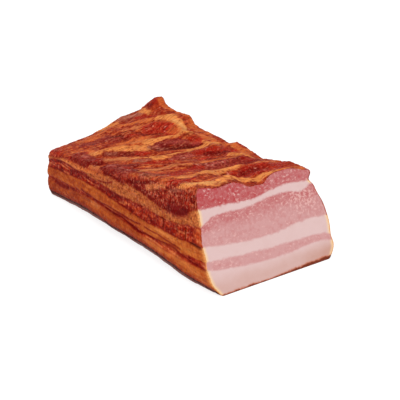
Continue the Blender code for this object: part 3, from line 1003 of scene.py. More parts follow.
@dataclass(frozen=True)
class CrustPaint:
    """The paint of the crust on top.

    A weight or share that is a pair is first the value off meat, or in the wild part of the crust, and then
    the value on meat, or in the calm part towards its right edge.
    """

    tints: tuple[Tint, ...] = (
        (76, 6, 2),
        (118, 16, 5),
        (144, 33, 13),
        (162, 48, 20),
        (178, 68, 30),
        (192, 88, 42),
        (206, 110, 55),
        (220, 138, 82),
    )
    fan_reach: float = 28.0
    fan_middle: float = -12.0
    fan_spread: float = 38.0
    fan_start: float = 28.0
    fan_run: float = 56.0
    fan_most: float = 1.3
    wander: Grain = Grain(20, 7.0, 1.2)
    broad: Grain = Fibre(21, (4.5, 24, 1))
    narrow: Grain = Fibre(22, (1.9, 6, 1))
    mottle: Grain = Grain(23, 2.6, 0.9)
    fine: Grain = Grain(30, 1.25)
    broad_weight: float = 1.2
    narrow_weight: float = 0.9
    fine_weights: Span = (1.3, 0.5)
    calm: Rise = Rise(-8, 34)
    light_middle: float = 0.50
    light_swing: float = 0.42
    shift_x: Grains = (Fibre(24, (1.8, 10, 1), 0.8), Grain(25, 5.0, 1.1))
    shift_y: Grain = Grain(26, 6.0, 1.6)
    rough: Grains = (Fibre(27, (1.2, 5, 1), 0.30), Grain(28, 1.4, 0.34))
    wear: Grains = (Fibre(60, (1.6, 5, 1), 0.9), Grain(61, 2.8, 0.9))
    wear_shares: Span = (0.3, 0.5)
    bare_meat: float = 0.6
    mark_edge: Rise = Rise(0.175, 0.65)
    ridge_lift: float = 0.4
    shadow_reach: float = 1.4
    shadow_edge: Rise = Rise(0.3, 0.4)
    shadow_share: float = 0.7
    threads: Grain = Fibre(29, (1.2, 9, 1))
    thread_shade: float = 0.14
    thread_break: float = 0.5
    dark_lines: Lines = Lines(Tone.WINE, Fibre(31, (2.4, 13, 1)), 0.07, 0.45, 0.55)
    pale_lines: Lines = Lines(Tone.CREAM, Fibre(32, (3.0, 16, 1)), 0.05, 0.35, 0.45)
    patches: Grain = Grain(48, 9.0, 1.6)
    patch_middle: float = 0.75
    patch_swing: float = 0.5
    breaks: Grains = (Grain(43, 1.4, 1.1), Fibre(44, (1.8, 3.4, 1), 1.3))
    break_shares: Span = (0.25, 0.85)
    calm_shares: Span = (1.0, 0.5)
    glints: Grain = Fibre(64, (1.2, 2.4, 1))

    def flow(self, points: Array) -> Array:
        """Measures across the fibres of the crust, which fan out towards the left shoulder.

        Args:
            points: The skin's points.

        Returns:
            Millimetres. The fibres run along lines of one value.
        """
        x, y = points[:, 0], points[:, 1]
        spread = np.clip((self.fan_start - y) / self.fan_run, 0.0, self.fan_most) ** 2
        return x + self.fan_reach * (bell(x - self.fan_middle, self.fan_spread) * spread)

    def paint(self, points: Array, flow: Array) -> tuple[Array, Array, Array]:
        """Paints the crust.

        Args:
            points: The skin's points.
            flow: The place across its fibres.

        Returns:
            The colours, the lift and how much of the crust is meat.
        """
        run = np.column_stack([flow + self.wander.at(points), points[:, 1], np.zeros_like(flow)])
        ground = Ground(points, run)
        broad, narrow = self.broad.on(ground), self.narrow.on(ground)
        calm = self.calm.at(points[:, 1])
        noise = self.broad_weight * broad + self.narrow_weight * narrow + self.mottle.on(ground)
        noise = noise + mixed(*self.fine_weights, calm) * self.fine.on(ground)
        painting = Painting(tinted(self.light_middle + self.light_swing * np.tanh(noise), self.tints))
        lift, meat = self._lay_marks(painting, ground)
        threads = self.threads.on(ground)
        painting.shade(1 + self.thread_shade * threads)
        painting.lay(self.dark_lines.tone, self.dark_lines.share(ground, narrow))
        patchy = self.patch_middle + self.patch_swing * np.clip(self.patches.on(ground), -1.0, 1.0)
        breaks = total_of(self.breaks, ground) + self.thread_break * threads
        painting.break_up(breaks, mixed(*self.break_shares, meat) * mixed(*self.calm_shares, calm) * patchy)
        painting.glint(self.glints.on(ground) * patchy, meat)
        painting.lay(self.pale_lines.tone, self.pale_lines.share(ground, -broad))
        return painting.colour, lift, meat

    def _lay_marks(self, painting: Painting, ground: Ground) -> tuple[Array, Array]:
        """Lays the crust's marks, with rough and worn edges and a painted shadow beside each ridge.

        Args:
            painting: The colours to lay them over.
            ground: Where the grains are read.

        Returns:
            The lift, and how much of the crust is meat.
        """
        x = ground.points[:, 0] + total_of(self.shift_x, ground)
        y = ground.points[:, 1] + self.shift_y.on(ground)
        rough = total_of(self.rough, ground)
        wear = unit(total_of(self.wear, ground))
        lift = np.zeros_like(x)
        meat = np.full_like(x, self.bare_meat)
        for mark in CRUST_MARKS:
            share = mark.share(x, y)
            lift += mark.lift * share
            edge = self.mark_edge.at(share + rough) * (1 - wear * self.wear_shares[mark.tone.is_meat])
            # a painted shadow along the side of each ridge towards the cut
            if mark.lift >= self.ridge_lift:
                near = self.shadow_edge.at(mark.share(x - self.shadow_reach, y) + rough)
                painting.lay(Tone.WINE, self.shadow_share * unit(near - edge))
            painting.lay(mark.tone, mark.strength * edge)
            meat = mixed(meat, float(mark.tone.is_meat), edge)
        return lift, meat


@dataclass(frozen=True)
class LayerShares:
    """How much of some layers shows at each point of the sides, and how much of all the lean."""

    main_lean: Array
    upper_fat: Array
    top_lean: Array
    lean: Array


@dataclass(frozen=True)
class SidePaint:
    """The paint of the smoked sides, layer by layer.

    layer_light and layer_spread go from the lowest layer up, and seam_shade from the lowest seam.
    """

    fat_tints: tuple[Tint, ...] = (
        (116, 30, 8),
        (142, 51, 16),
        (164, 72, 26),
        (181, 92, 36),
        (196, 114, 50),
        (212, 140, 78),
    )
    lean_tints: tuple[Tint, ...] = (
        (78, 4, 1),
        (112, 10, 3),
        (142, 23, 6),
        (162, 43, 13),
        (180, 78, 40),
        (200, 124, 92),
    )
    layer_light: tuple[float, ...] = (0.46, 0.55, 0.57, 0.50, 0.52, 0.48)
    layer_spread: tuple[float, ...] = (0.8, 1.4, 0.9, 1.7, 1.0, 1.5)
    far_shade: float = 0.2
    far_shade_height: float = 28.0
    far_shade_parts: Span = (1.3, 0.8)
    corner_light: float = 0.2
    corner: Rise = Rise(0.08, -0.08)
    corner_heights: Span = (8.0, 16.0)
    side_offset: float = 40.0
    ragged: Grains = (Grain(11, (9, 6, 3), 0.5), Grain(12, (3, 2.2, 1.6), 0.35))
    border: Rise = Rise(-0.45, 0.9)
    noise: Grains = (
        Fibre(33, (18, 2.4, 1), 0.9), Fibre(34, (4.2, 2.8, 1), 1.1), Fibre(35, (1.7, 1.5, 1), 0.9),
    )
    noise_gain: float = 1.5
    noise_swing: float = 0.2
    broken: Grain = Fibre(49, (6, 2.6, 1), 1.5)
    broken_start: float = 0.35
    broken_run: Rise = Rise(20, -50)
    broken_most: float = 0.85
    tan_share: float = 0.4
    tan_shade: float = 0.04
    cracks: Lines = Lines(Tone.WINE, Fibre(45, (5, 3, 1)), 0.07, 0.5)
    crack_upper_fat: float = 0.45
    crack_top_lean: float = 0.6
    crack_everywhere: float = 0.12
    strokes: Grain = Fibre(36, (1.1, 4.5, 1))
    stroke_weights: Span = (0.8, 0.5)
    lumps: Grains = (Fibre(62, (1.9, 3.4, 1), 1.5), Fibre(63, (2.2, 1.9, 1), 1.0))
    lump_sink: float = 0.15
    lump_share: float = 0.85
    near_dark: Rise = Rise(-10, 40)
    near_dark_share: float = 0.14
    breaks: Grains = (Grain(46, 1.4, 0.9), Fibre(47, (3.0, 2.3, 1), 1.5))
    break_everywhere: float = 0.07
    break_lean: float = 0.6
    break_upper_fat: float = 0.22
    streaks: Grains = (Fibre(66, (12, 1.5, 1), 1.2), Fibre(67, (4, 1.6, 1), 0.5))
    streak_specks: tuple[Specks, ...] = (
        Specks(Tone.WINE, -2.2, 0.3, 0.8),
        Specks(Tone.TAN, 2.2, 0.4, 0.65),
    )
    streak_shares: Span = (1.0, 0.5)
    upper_fat_meat: float = 0.25
    upright: Lines = Lines(Tone.WINE, Fibre(68, (4.0, 12, 1)), 0.07, strength=0.75)
    upright_run: Rise = Rise(-60, 80)
    glints: Grain = Fibre(65, (1.3, 1.6, 1))
    glint_shares: Span = (0.5, 0.85)
    rind_dark_and_shade: Rise = Rise(3.4, -3.4)
    rind_dark_and_shade_share: float = 0.6
    near_amber: Rise = Rise(12, -12)
    near_amber_share: float = 0.45
    gaps: Grain = Fibre(37, (6, 2, 1), 1.1)
    gap_start: float = 0.6
    seam_width: float = 0.5
    seam_shade: tuple[float, ...] = (0.45, 0.4, 0.85, 0.5, 0.55)
    shift_x: Grain = Grain(38, 3.0, 0.7)
    shift_z: Grain = Grain(39, (5, 5, 2.5), 0.4)
    pits: Specks = Specks(Tone.PIT_AND_SHADE, 3.2, 0.8)
    pit_grain: Grain = Fibre(40, (1.7, 1.3, 1))
    pit_everywhere: float = 0.08
    pit_upper_fat: float = 0.6
    rim_reach: float = 1.2
    rim_share: float = 0.8

    def paint(self, skin: Skin, rind_height: Array) -> tuple[Array, Array]:
        """Paints the sides.

        Args:
            skin: The slab's skin.
            rind_height: The height above the rind's upper edge.

        Returns:
            The colours and the lift.
        """
        x, y, z = skin.points.T
        ground = Ground(skin.points, np.column_stack([x + y, z, np.sign(y) * self.side_offset]))
        ragged = z + total_of(self.ragged, ground)
        above = [self.border.at(ragged - seam) for seam in skin.seam_heights]
        noise = total_of(self.noise, ground)
        layers = self._layers(above, ground)
        painting = self._base(skin, above, noise, layers)
        self._roughen(painting, ground, noise, layers)
        # a dark band above the rind's edge, partly painted shade under the foot
        painting.lay(Tone.WINE, self.rind_dark_and_shade_share * self.rind_dark_and_shade.at(rind_height))
        near = self.near_amber.at(skin.from_cut)
        painting.lay(Tone.AMBER, self.near_amber_share * near * layers.main_lean)
        gaps = unit(self.gap_start + self.gaps.on(ground))
        # painted shade in the recess along each seam, broken by gaps
        for seam, shade in zip(skin.seam_heights, self.seam_shade):
            painting.lay(Tone.WINE, shade * bell(ragged - seam, self.seam_width) * gaps)
        lift = self._lay_marks(painting, skin, ground)
        pitted = self.pit_everywhere + self.pit_upper_fat * layers.upper_fat
        painting.scatter(self.pits, self.pit_grain.on(ground), pitted)
        edge = np.exp(-skin.from_cut / self.rim_reach) * (1 - layers.main_lean) * (1 - layers.top_lean)
        painting.lay(Tone.CREAM, self.rim_share * edge)
        return painting.colour, lift

    def _layers(self, above: list[Array], ground: Ground) -> LayerShares:
        """Works out which layers show, with the lower lean broken towards the far end.

        Args:
            above: How far above each seam each point is, from 0 to 1.
            ground: Where the grains are read.

        Returns:
            How much of the layers shows.
        """
        broken = ease(self.broken_start + self.broken.on(ground)) * self.broken_run.at(ground.points[:, 0])
        lower_lean = above[0] * (1 - above[1]) * (1 - self.broken_most * broken)
        return LayerShares(
            main_lean=above[2] * (1 - above[3]),
            upper_fat=above[3] * (1 - above[4]),
            top_lean=above[4],
            lean=lower_lean + above[2] - above[3] + above[4],
        )

    def _base(self, skin: Skin, above: list[Array], noise: Array, layers: LayerShares) -> Painting:
        """Tints the layers, darker towards the far end and lighter at its corner.

        Args:
            skin: The slab's skin.
            above: How far above each seam each point is, from 0 to 1.
            noise: The unevenness of the sides.
            layers: Which layers show.

        Returns:
            The painting, to be roughened.
        """
        z = skin.points[:, 2]
        light = np.full_like(z, self.layer_light[0])
        spread = np.full_like(z, self.layer_spread[0])
        for layer, share in enumerate(above):
            light += (self.layer_light[layer + 1] - self.layer_light[layer]) * share
            spread += (self.layer_spread[layer + 1] - self.layer_spread[layer]) * share
        light += spread * self.noise_swing * np.tanh(self.noise_gain * noise)
        light -= self.far_shade * (1 - skin.a) * np.where(z < self.far_shade_height, *self.far_shade_parts)
        light += self.corner_light * self.corner.at(skin.a) * np.interp(z, self.corner_heights, (0.0, 1.0))
        lean = layers.lean[:, None]
        painting = Painting(mixed(tinted(light, self.fat_tints), tinted(light, self.lean_tints), lean))
        painting.lay(Tone.TAN, self.tan_share * layers.upper_fat)
        painting.shade(1 - self.tan_shade * layers.upper_fat)
        return painting

    def _roughen(self, painting: Painting, ground: Ground, noise: Array, layers: LayerShares) -> None:
        """Adds the sides' cracks, pits, streaks and glints.

        Args:
            painting: The colours to lay them over.
            ground: Where the grains are read.
            noise: The unevenness of the sides.
            layers: Which layers show.
        """
        x = ground.points[:, 0]
        upper_fat, top_lean, lean = layers.upper_fat, layers.top_lean, layers.lean
        cracked = self.crack_upper_fat * upper_fat + self.crack_top_lean * top_lean + self.crack_everywhere
        painting.lay(self.cracks.tone, self.cracks.share(ground, noise) * cracked)
        strokes = self.strokes.on(ground)
        lumps = self.stroke_weights[0] * strokes + total_of(self.lumps, ground) - self.lump_sink
        painting.break_up(lumps, self.lump_share * top_lean)
        painting.lay(Tone.WINE, self.near_dark_share * top_lean * self.near_dark.at(x))
        breaks = total_of(self.breaks, ground) + self.stroke_weights[1] * strokes
        broken_up = self.break_everywhere + self.break_lean * lean + self.break_upper_fat * upper_fat
        painting.break_up(breaks, broken_up)
        streaks = total_of(self.streaks, ground)
        for specks in self.streak_specks:
            painting.scatter(specks, streaks, lean * mixed(*self.streak_shares, top_lean))
        upright = self.upright.share(ground) * self.upright_run.at(x)
        painting.lay(self.upright.tone, upright * layers.main_lean)
        meat = unit(lean + self.upper_fat_meat * upper_fat)
        painting.glint(self.glints.on(ground), mixed(*self.glint_shares, top_lean) * meat)

    def _lay_marks(self, painting: Painting, skin: Skin, ground: Ground) -> Array:
        """Lays the left side's marks.

        Args:
            painting: The colours to lay them over.
            skin: The slab's skin.
            ground: Where the grains are read.

        Returns:
            The lift.
        """
        left = skin.b <= 0.0
        u = skin.points[:, 0] + self.shift_x.on(ground)
        v = skin.points[:, 2] + self.shift_z.on(ground)
        lift = np.zeros_like(u)
        for mark in LEFT_MARKS:
            share = np.where(left, mark.share(u, v), 0.0)
            lift += mark.lift * share
            painting.lay(mark.tone, share * mark.strength)
        return lift


@dataclass(frozen=True)
class CutPaint:
    """The colour of the cut: how red its lean is, how flecked, and how beige its fat.

    corner is the middle of the main lean's darker right corner, as (y, z), and band its darker upper part.
    main_red is the red of the even lean, and what the corner and the band add. cloud_weights are what the
    cloud adds to the red, the flecks and the beige.
    """

    top_edge: Rise = Rise(-1, 2)
    corner: Span = (31.0, 37.0)
    corner_size: Span = (11.0, 7.0)
    band: Rise = Rise(0.4, 0.5)
    least_height: float = 1.0
    cloud: Grain = Grain(42, 9.0)
    top_red: Span = (0.85, 0.6)
    top_red_run: Rise = Rise(-40, 75)
    main_red: Triple = (0.01, 0.18, 0.45)
    red_start: float = 0.06
    main_flecks: Span = (0.75, 0.3)
    top_flecks: float = 0.2
    fleck_start: float = 0.15
    base_beige: Rise = Rise(13, -9)
    beige_shares: Span = (0.5, 1.0)
    beige_run: Rise = Rise(5, 40)
    cloud_weights: Triple = (0.07, 0.35, 0.08)

    def values(self, skin: Skin) -> dict[str, Array]:
        """Works out the cut's values.

        Args:
            skin: The slab's skin.

        Returns:
            The values by name.
        """
        y, z = skin.points[:, 1], skin.points[:, 2]
        seams = skin.seam_heights
        in_top = self.top_edge.at(z - seams[4])
        in_main = self.top_edge.at(z - seams[2]) * (1 - in_top)
        band = self.band.at((z - seams[2]) / np.maximum(seams[3] - seams[2], self.least_height))
        across, up = (y - self.corner[0]) / self.corner_size[0], (z - self.corner[1]) / self.corner_size[1]
        corner = np.exp(-(across**2) - up**2)
        cloud = self.cloud.at(skin.points)
        red_cloud, fleck_cloud, beige_cloud = (weight * cloud for weight in self.cloud_weights)
        even, corner_red, band_red = self.main_red
        red = in_top * mixed(*self.top_red, self.top_red_run.at(y))
        red = red + in_main * (even + corner_red * corner + band_red * band)
        fleck = in_main * (self.main_flecks[0] * corner + self.main_flecks[1] * band)
        beige = self.base_beige.at(z) * mixed(*self.beige_shares, self.beige_run.at(y))
        return {
            "red": unit(red + self.red_start + red_cloud),
            "fleck": unit(self.fleck_start + self.top_flecks * in_top + fleck + fleck_cloud),
            "beige": unit(beige + beige_cloud),
        }


@dataclass(frozen=True)
class Smokehouse:
    """Gives the skin its coat, from its layers, its marks and its grain.

    Attributes:
        rind_and_shade_tops: The rind's upper edge along the left side, at even steps from the far end. It
            is
        raised up the undercut foot, so that the rind there also stands for painted shade.
        cut_rind: The least height of the rind on the cut, and how much more it has at the right.
        crumb_top: How grainy the crust is, and what meat and the near left shoulder add.
        crumb_layers: How grainy the sides are at least, and what the main lean and the upper fat add.
        lump: Where a smooth dark lump lies on the left side, as (x, z), with its size.
    """

    skin: Skin
    crust_paint: CrustPaint = CrustPaint()
    side_paint: SidePaint = SidePaint()
    cut_paint: CutPaint = CutPaint()
    shoulder: float = 3.5
    fat_limit: float = 3.0
    fat_ragged: Grains = (Grain(13, (9, 7, 3), 0.6), Grain(14, (3, 2.6, 1.6), 0.25))
    depth_limit: float = 12.0
    top_depth: float = 1.6
    rind_and_shade_tops: tuple[float, ...] = (3.6, 4.6, 5.6, 7.2, 7.8, 8.0, 7.4, 7.8, 8.0, 8.0, 7.6, 6.2, 4.2, 2.8)
    rind_ragged: Grain = Grain(15, (6, 6, 3), 0.5)
    other_rind: float = 3.4
    cut_rind: Span = (0.3, 1.2)
    cut_rind_run: Rise = Rise(-10, 50)
    rind_limit: float = 6.0
    crumb_border: Rise = Rise(0, 1.5)
    crumb_top: Triple = (0.06, 0.26, 0.5)
    crumb_shoulder: Rise = Rise(-36, -6)
    crumb_near: Rise = Rise(0, 30)
    crumb_layers: Triple = (0.07, 0.16, 0.28)
    crumb_top_lean: Span = (0.2, 0.45)
    crumb_run: Rise = Rise(-20, 60)
    crumb_grain: Grain = Grain(41, 7.0, 0.1)
    lump: Span = (60.0, 40.6)
    lump_size: Span = (9.0, 3.0)
    lump_calm: float = 0.9

    def coat(self) -> Coat:
        """Works out the whole skin's looks.

        Returns:
            The looks at each point.
        """
        skin = self.skin
        z = skin.points[:, 2]
        side = skin.on_cut & ~skin.on_crust
        top = np.where(side, 0.0, ease(1 - (skin.crust - z) / self.shoulder))
        flow = self.crust_paint.flow(skin.points)
        rind = self._rind_height()
        crust_colour, crust_lift, meat = self.crust_paint.paint(skin.points, flow)
        side_colour, side_lift = self.side_paint.paint(skin, rind)
        share = top[:, None]
        return Coat(
            smoke=crust_colour * share + side_colour * (1 - share),
            lift=crust_lift * top + side_lift * (1 - top),
            top=top,
            flow=flow,
            crumb=self._crumbs(top, meat),
            fat=np.clip(self._layer_distance(), -self.fat_limit, self.fat_limit),
            depth=self._depth(),
            rind=rind,
            **self.cut_paint.values(skin),
        )

    def _crumbs(self, top: Array, meat: Array) -> Array:
        """Finds how grainy the skin is: most along the near left shoulder, and least on smoked fat.

        Args:
            top: 1 on the crust and 0 on the sides.
            meat: How much of the crust is meat.

        Returns:
            How grainy it is.
        """
        skin = self.skin
        x, y, z = skin.points.T
        above = [self.crumb_border.at(z - seam) for seam in skin.seam_heights]
        even, on_meat, on_shoulder = self.crumb_top
        on_top = even + on_meat * meat + on_shoulder * self.crumb_shoulder.at(y) * self.crumb_near.at(x)
        least, main_lean, upper_fat = self.crumb_layers
        leans = main_lean * above[2] * (1 - above[3]) + upper_fat * above[3] * (1 - above[4])
        top_lean, nearer = self.crumb_top_lean
        under = least + leans + above[4] * (top_lean + nearer * self.crumb_run.at(x))
        (lump_x, lump_z), (size_x, size_z) = self.lump, self.lump_size
        lump = np.exp(-(((x - lump_x) / size_x) ** 2) - ((z - lump_z) / size_z) ** 2)
        under = under * (1 - self.lump_calm * lump)
        return unit(on_top * top + under * (1 - top) + self.crumb_grain.at(skin.points))

    def _layer_distance(self) -> Array:
        """Measures from each point to the nearest border of fat and lean, with a ragged border.

        Returns:
            Millimetres, above 0 in fat.
        """
        skin = self.skin
        z = skin.points[:, 2] + total_of(self.fat_ragged, Ground(skin.points, skin.points))
        result = np.full(len(z), np.inf)
        sign = -1.0
        for seam in skin.seam_heights:
            gap = (z - seam) * sign
            result = np.where(np.abs(gap) < np.abs(result), gap, result)
            sign = -sign
        return result

    def _depth(self) -> Array:
        """Measures how deep inside the smoked skin each point of the cut lies.

        Returns:
            Millimetres, 0 all over the smoked skin.
        """
        skin = self.skin
        a, b, crust = skin.a, skin.b, skin.crust
        y, z = skin.points[:, 1], skin.points[:, 2]
        left = skin.form.place(a, np.zeros_like(b), z, crust)[1]
        right = skin.form.place(a, np.ones_like(b), z, crust)[1]
        depth = np.minimum(np.minimum(y - left, right - y), (crust - z) * self.top_depth)
        return np.where(skin.on_cut, np.clip(depth, 0.0, self.depth_limit), 0.0)

    def _rind_height(self) -> Array:
        """Measures from the rind's upper edge, raised on the left side's undercut foot to take in painted
        shade.

        Returns:
            Millimetres, below 0 on the rind.
        """
        skin = self.skin
        z = skin.points[:, 2] + self.rind_ragged.at(skin.points)
        edge = np.where(skin.b <= 0.0, along(self.rind_and_shade_tops, skin.a), self.other_rind)
        least, more = self.cut_rind
        edge = np.where(skin.on_cut, least + more * self.cut_rind_run.at(skin.points[:, 1]), edge)
        return np.clip(z - edge, -self.rind_limit, self.rind_limit)


@dataclass(frozen=True)
class Relief:
    """How far each point of the skin stands out from the solids' shape."""

    fat_swell: float = 0.3
    lean_sink: float = 0.5
    soft_edge: float = 1.1
    undulation: Grain = Grain(51, 13.0, 0.4)
    top_undulation: float = 0.7
    streaks: Grain = Grain(52, (9, 9, 1.3), 0.16)
    pits: Specks = Specks(Tone.PIT_AND_SHADE, 2.0, 0.5, 0.4)
    pit_grain: Grain = Grain(53, 1.5)
    top_grains: Grains = (Grain(56, 1.6, 0.15), Fibre(54, (2.6, 17, 6), 0.34), Fibre(55, (1.2, 8, 4), 0.2))
    crumbs: float = 0.5
    crumb_grains: Grains = (Grain(58, 1.9), Grain(59, 1.0, 0.5))
    least_crumbs: float = 0.2
    near_cut: Rise = Rise(0, 2.5)
    near_cut_shares: Span = (0.3, 1.0)
    cut_waves: Grain = Grain(57, 6.0, 0.12)
    cut_swell: float = 0.04
    foot: Rise = Rise(0, 1.0)

    def shape(self, skin: Skin, coat: Coat) -> Array:
        """Moves the skin's points to their relief.

        Args:
            skin: The skin.
            coat: What it looks like.

        Returns:
            The points, moved along the skin's own directions.
        """
        points = skin.points
        ground = Ground(points, np.column_stack([coat.flow, points[:, 1], np.zeros_like(coat.flow)]))
        soft = np.tanh(coat.fat / self.soft_edge)
        broad = self.undulation.on(ground)
        rough = unit(self.least_crumbs + coat.crumb)
        crumbs = self.crumbs * rough * total_of(self.crumb_grains, ground)
        side = np.where(soft > 0, self.fat_swell, self.lean_sink) * soft + broad + crumbs
        side += self.streaks.on(ground)
        side -= self.pits.share(self.pit_grain.on(ground))
        top = self.top_undulation * broad + crumbs + total_of(self.top_grains, ground)
        out = side * (1 - coat.top) + top * coat.top + coat.lift
        out = out * mixed(*self.near_cut_shares, self.near_cut.at(skin.from_cut))
        out = np.where(skin.on_cut, self.cut_waves.on(ground) + self.cut_swell * soft, out)
        out = out * self.foot.at(points[:, 2])
        moved = points + skin.normals(points) * out[:, None]
        moved[:, 2] = np.maximum(moved[:, 2], 0.0)
        return moved


@dataclass(frozen=True)
class NodeBench:
    """Short calls that add a material's nodes."""

    tree: bpy.types.ShaderNodeTree

    def add(self, kind: str, **settings: object) -> bpy.types.Node:
        """Adds a node.

        Args:
            kind: The node's type.
            settings: Values for its own settings.

        Returns:
            The node.
        """
        node = self.tree.nodes.new(kind)
        for name, value in settings.items():
            setattr(node, name, value)
        return node

    def feed(self, socket: Socket, value: Socket | float | tuple) -> None:
        """Links or sets an input.

        Args:
            socket: The input.
            value: The output that is linked to it, or its value.
        """
        if isinstance(value, bpy.types.NodeSocket):
            self.tree.links.new(value, socket)
        else:
            socket.default_value = value

    def attribute(self, name: str, output: str = "Fac") -> Socket:
        """Reads one of the skin's values."""
        return self.add("ShaderNodeAttribute", attribute_name=name).outputs[output]

    def math(self, operation: str, *values: Socket | float, clamp: bool = False) -> Socket:
        """Works out a number.

        Args:
            operation: The sum to do.
            values: Its numbers.
            clamp: Whether the answer is kept between 0 and 1.

        Returns:
            The answer.
        """
        node = self.add("ShaderNodeMath", operation=operation, use_clamp=clamp)
        for socket, value in zip(node.inputs, values):
            self.feed(socket, value)
        return node.outputs[0]

    def times(self, first: Socket, second: Socket | float) -> Socket:
        """Multiplies two numbers."""
        return self.math("MULTIPLY", first, second)

    def sway(self, noise: Socket, width: float, base: Socket | float, clamp: bool = False) -> Socket:
        """Moves a number up and down with noise.

        Args:
            noise: The noise, even about its middle.
            width: How far it moves the number.
            base: The number.
            clamp: Whether the answer is kept between 0 and 1.

        Returns:
            The moved number.
        """
        swing = self.math("SUBTRACT", noise, NOISE_MIDDLE)
        return self.math("MULTIPLY_ADD", swing, width, base, clamp=clamp)

    def step(self, value: Socket, span: Span) -> Socket:
        """Turns a value into a share.

        Args:
            value: The value.
            span: Where the share is 0, and where it is 1.

        Returns:
            The share, with a smooth rise.
        """
        node = self.add("ShaderNodeMapRange", interpolation_type="SMOOTHSTEP")
        self.feed(node.inputs["Value"], value)
        node.inputs["From Min"].default_value, node.inputs["From Max"].default_value = span
        return node.outputs["Result"]

    def mix(self, share: Socket | float, first: Socket | tuple, second: Socket | tuple) -> Socket:
        """Mixes two colours.

        Args:
            share: How much of the second.
            first: A colour.
            second: A colour.

        Returns:
            The mixed colour.
        """
        return self._blend("RGBA", COLOUR_SOCKETS, (share, first, second))

    def mix_numbers(self, share: Socket, first: Socket, second: Socket) -> Socket:
        """Mixes two numbers."""
        return self._blend("FLOAT", NUMBER_SOCKETS, (share, first, second))

    def _blend(self, kind: str, sockets: tuple[int, ...], values: tuple) -> Socket:
        """Adds a mix node.

        Args:
            kind: What it mixes.
            sockets: The numbers of its three inputs and of its output.
            values: The share, and the two that are mixed.

        Returns:
            The mix.
        """
        node = self.add("ShaderNodeMix", data_type=kind)
        *inputs, output = sockets
        for number, value in zip(inputs, values):
            self.feed(node.inputs[number], value)
        return node.outputs[output]

    def shade(self, colour: Socket, amount: Socket) -> Socket:
        """Makes a colour brighter or darker.

        Args:
            colour: The colour.
            amount: What it is multiplied by.

        Returns:
            The new colour.
        """
        node = self.add("ShaderNodeVectorMath", operation="SCALE")
        self.feed(node.inputs[0], colour)
        self.feed(node.inputs["Scale"], amount)
        return node.outputs[0]

    def stretched(self, place: Socket, scale: Triple) -> Socket:
        """Scales a place for a noise.

        Args:
            place: The place, in metres.
            scale: The noise's lumps to a millimetre along each axis.

        Returns:
            The scaled place.
        """
        node = self.add("ShaderNodeMapping")
        self.feed(node.inputs["Vector"], place)
        node.inputs["Scale"].default_value = tuple(part / MM for part in scale)
        return node.outputs["Vector"]

    def noise(self, place: Socket, detail: float = 3.0, roughness: float = 0.55) -> Socket:
        """Reads noise.

        Args:
            place: The place, scaled so that a lump has a size of 1.
            detail: How many finer noises are added.
            roughness: How strong each of them is.

        Returns:
            Noise about NOISE_MIDDLE.
        """
        node = self.add("ShaderNodeTexNoise")
        self.feed(node.inputs["Vector"], place)
        for name, value in (("Scale", 1.0), ("Detail", detail), ("Roughness", roughness)):
            node.inputs[name].default_value = value
        return node.outputs["Fac"]


def light_of(colours: Array) -> Array:
    """Turns colours as a screen shows them into the light that they stand for.

    Args:
        colours: Parts from 0 to 255.

    Returns:
        Parts from 0 to 1.
    """
    parts = np.clip(colours, 0, SCREEN_WHITE) / SCREEN_WHITE
    bright = ((parts + SCREEN_OFFSET) / (1 + SCREEN_OFFSET)) ** SCREEN_POWER
    return np.where(parts <= SCREEN_BREAK, parts / SCREEN_SLOPE, bright)


def linear(tint: Tint) -> tuple[float, float, float, float]:
    """Turns one tint into red, green and blue light, with a 1 after them."""
    return (*(float(part) for part in light_of(np.array(tint, float))), 1.0)


@dataclass(frozen=True)
class Weave:
    """What the parts of one material share: its noises, and how deep inside the smoked skin a place is."""

    bench: NodeBench
    place: Socket
    fine: Socket
    grit: Socket
    fibres: Socket
    crumbs: Socket
    depth: Socket


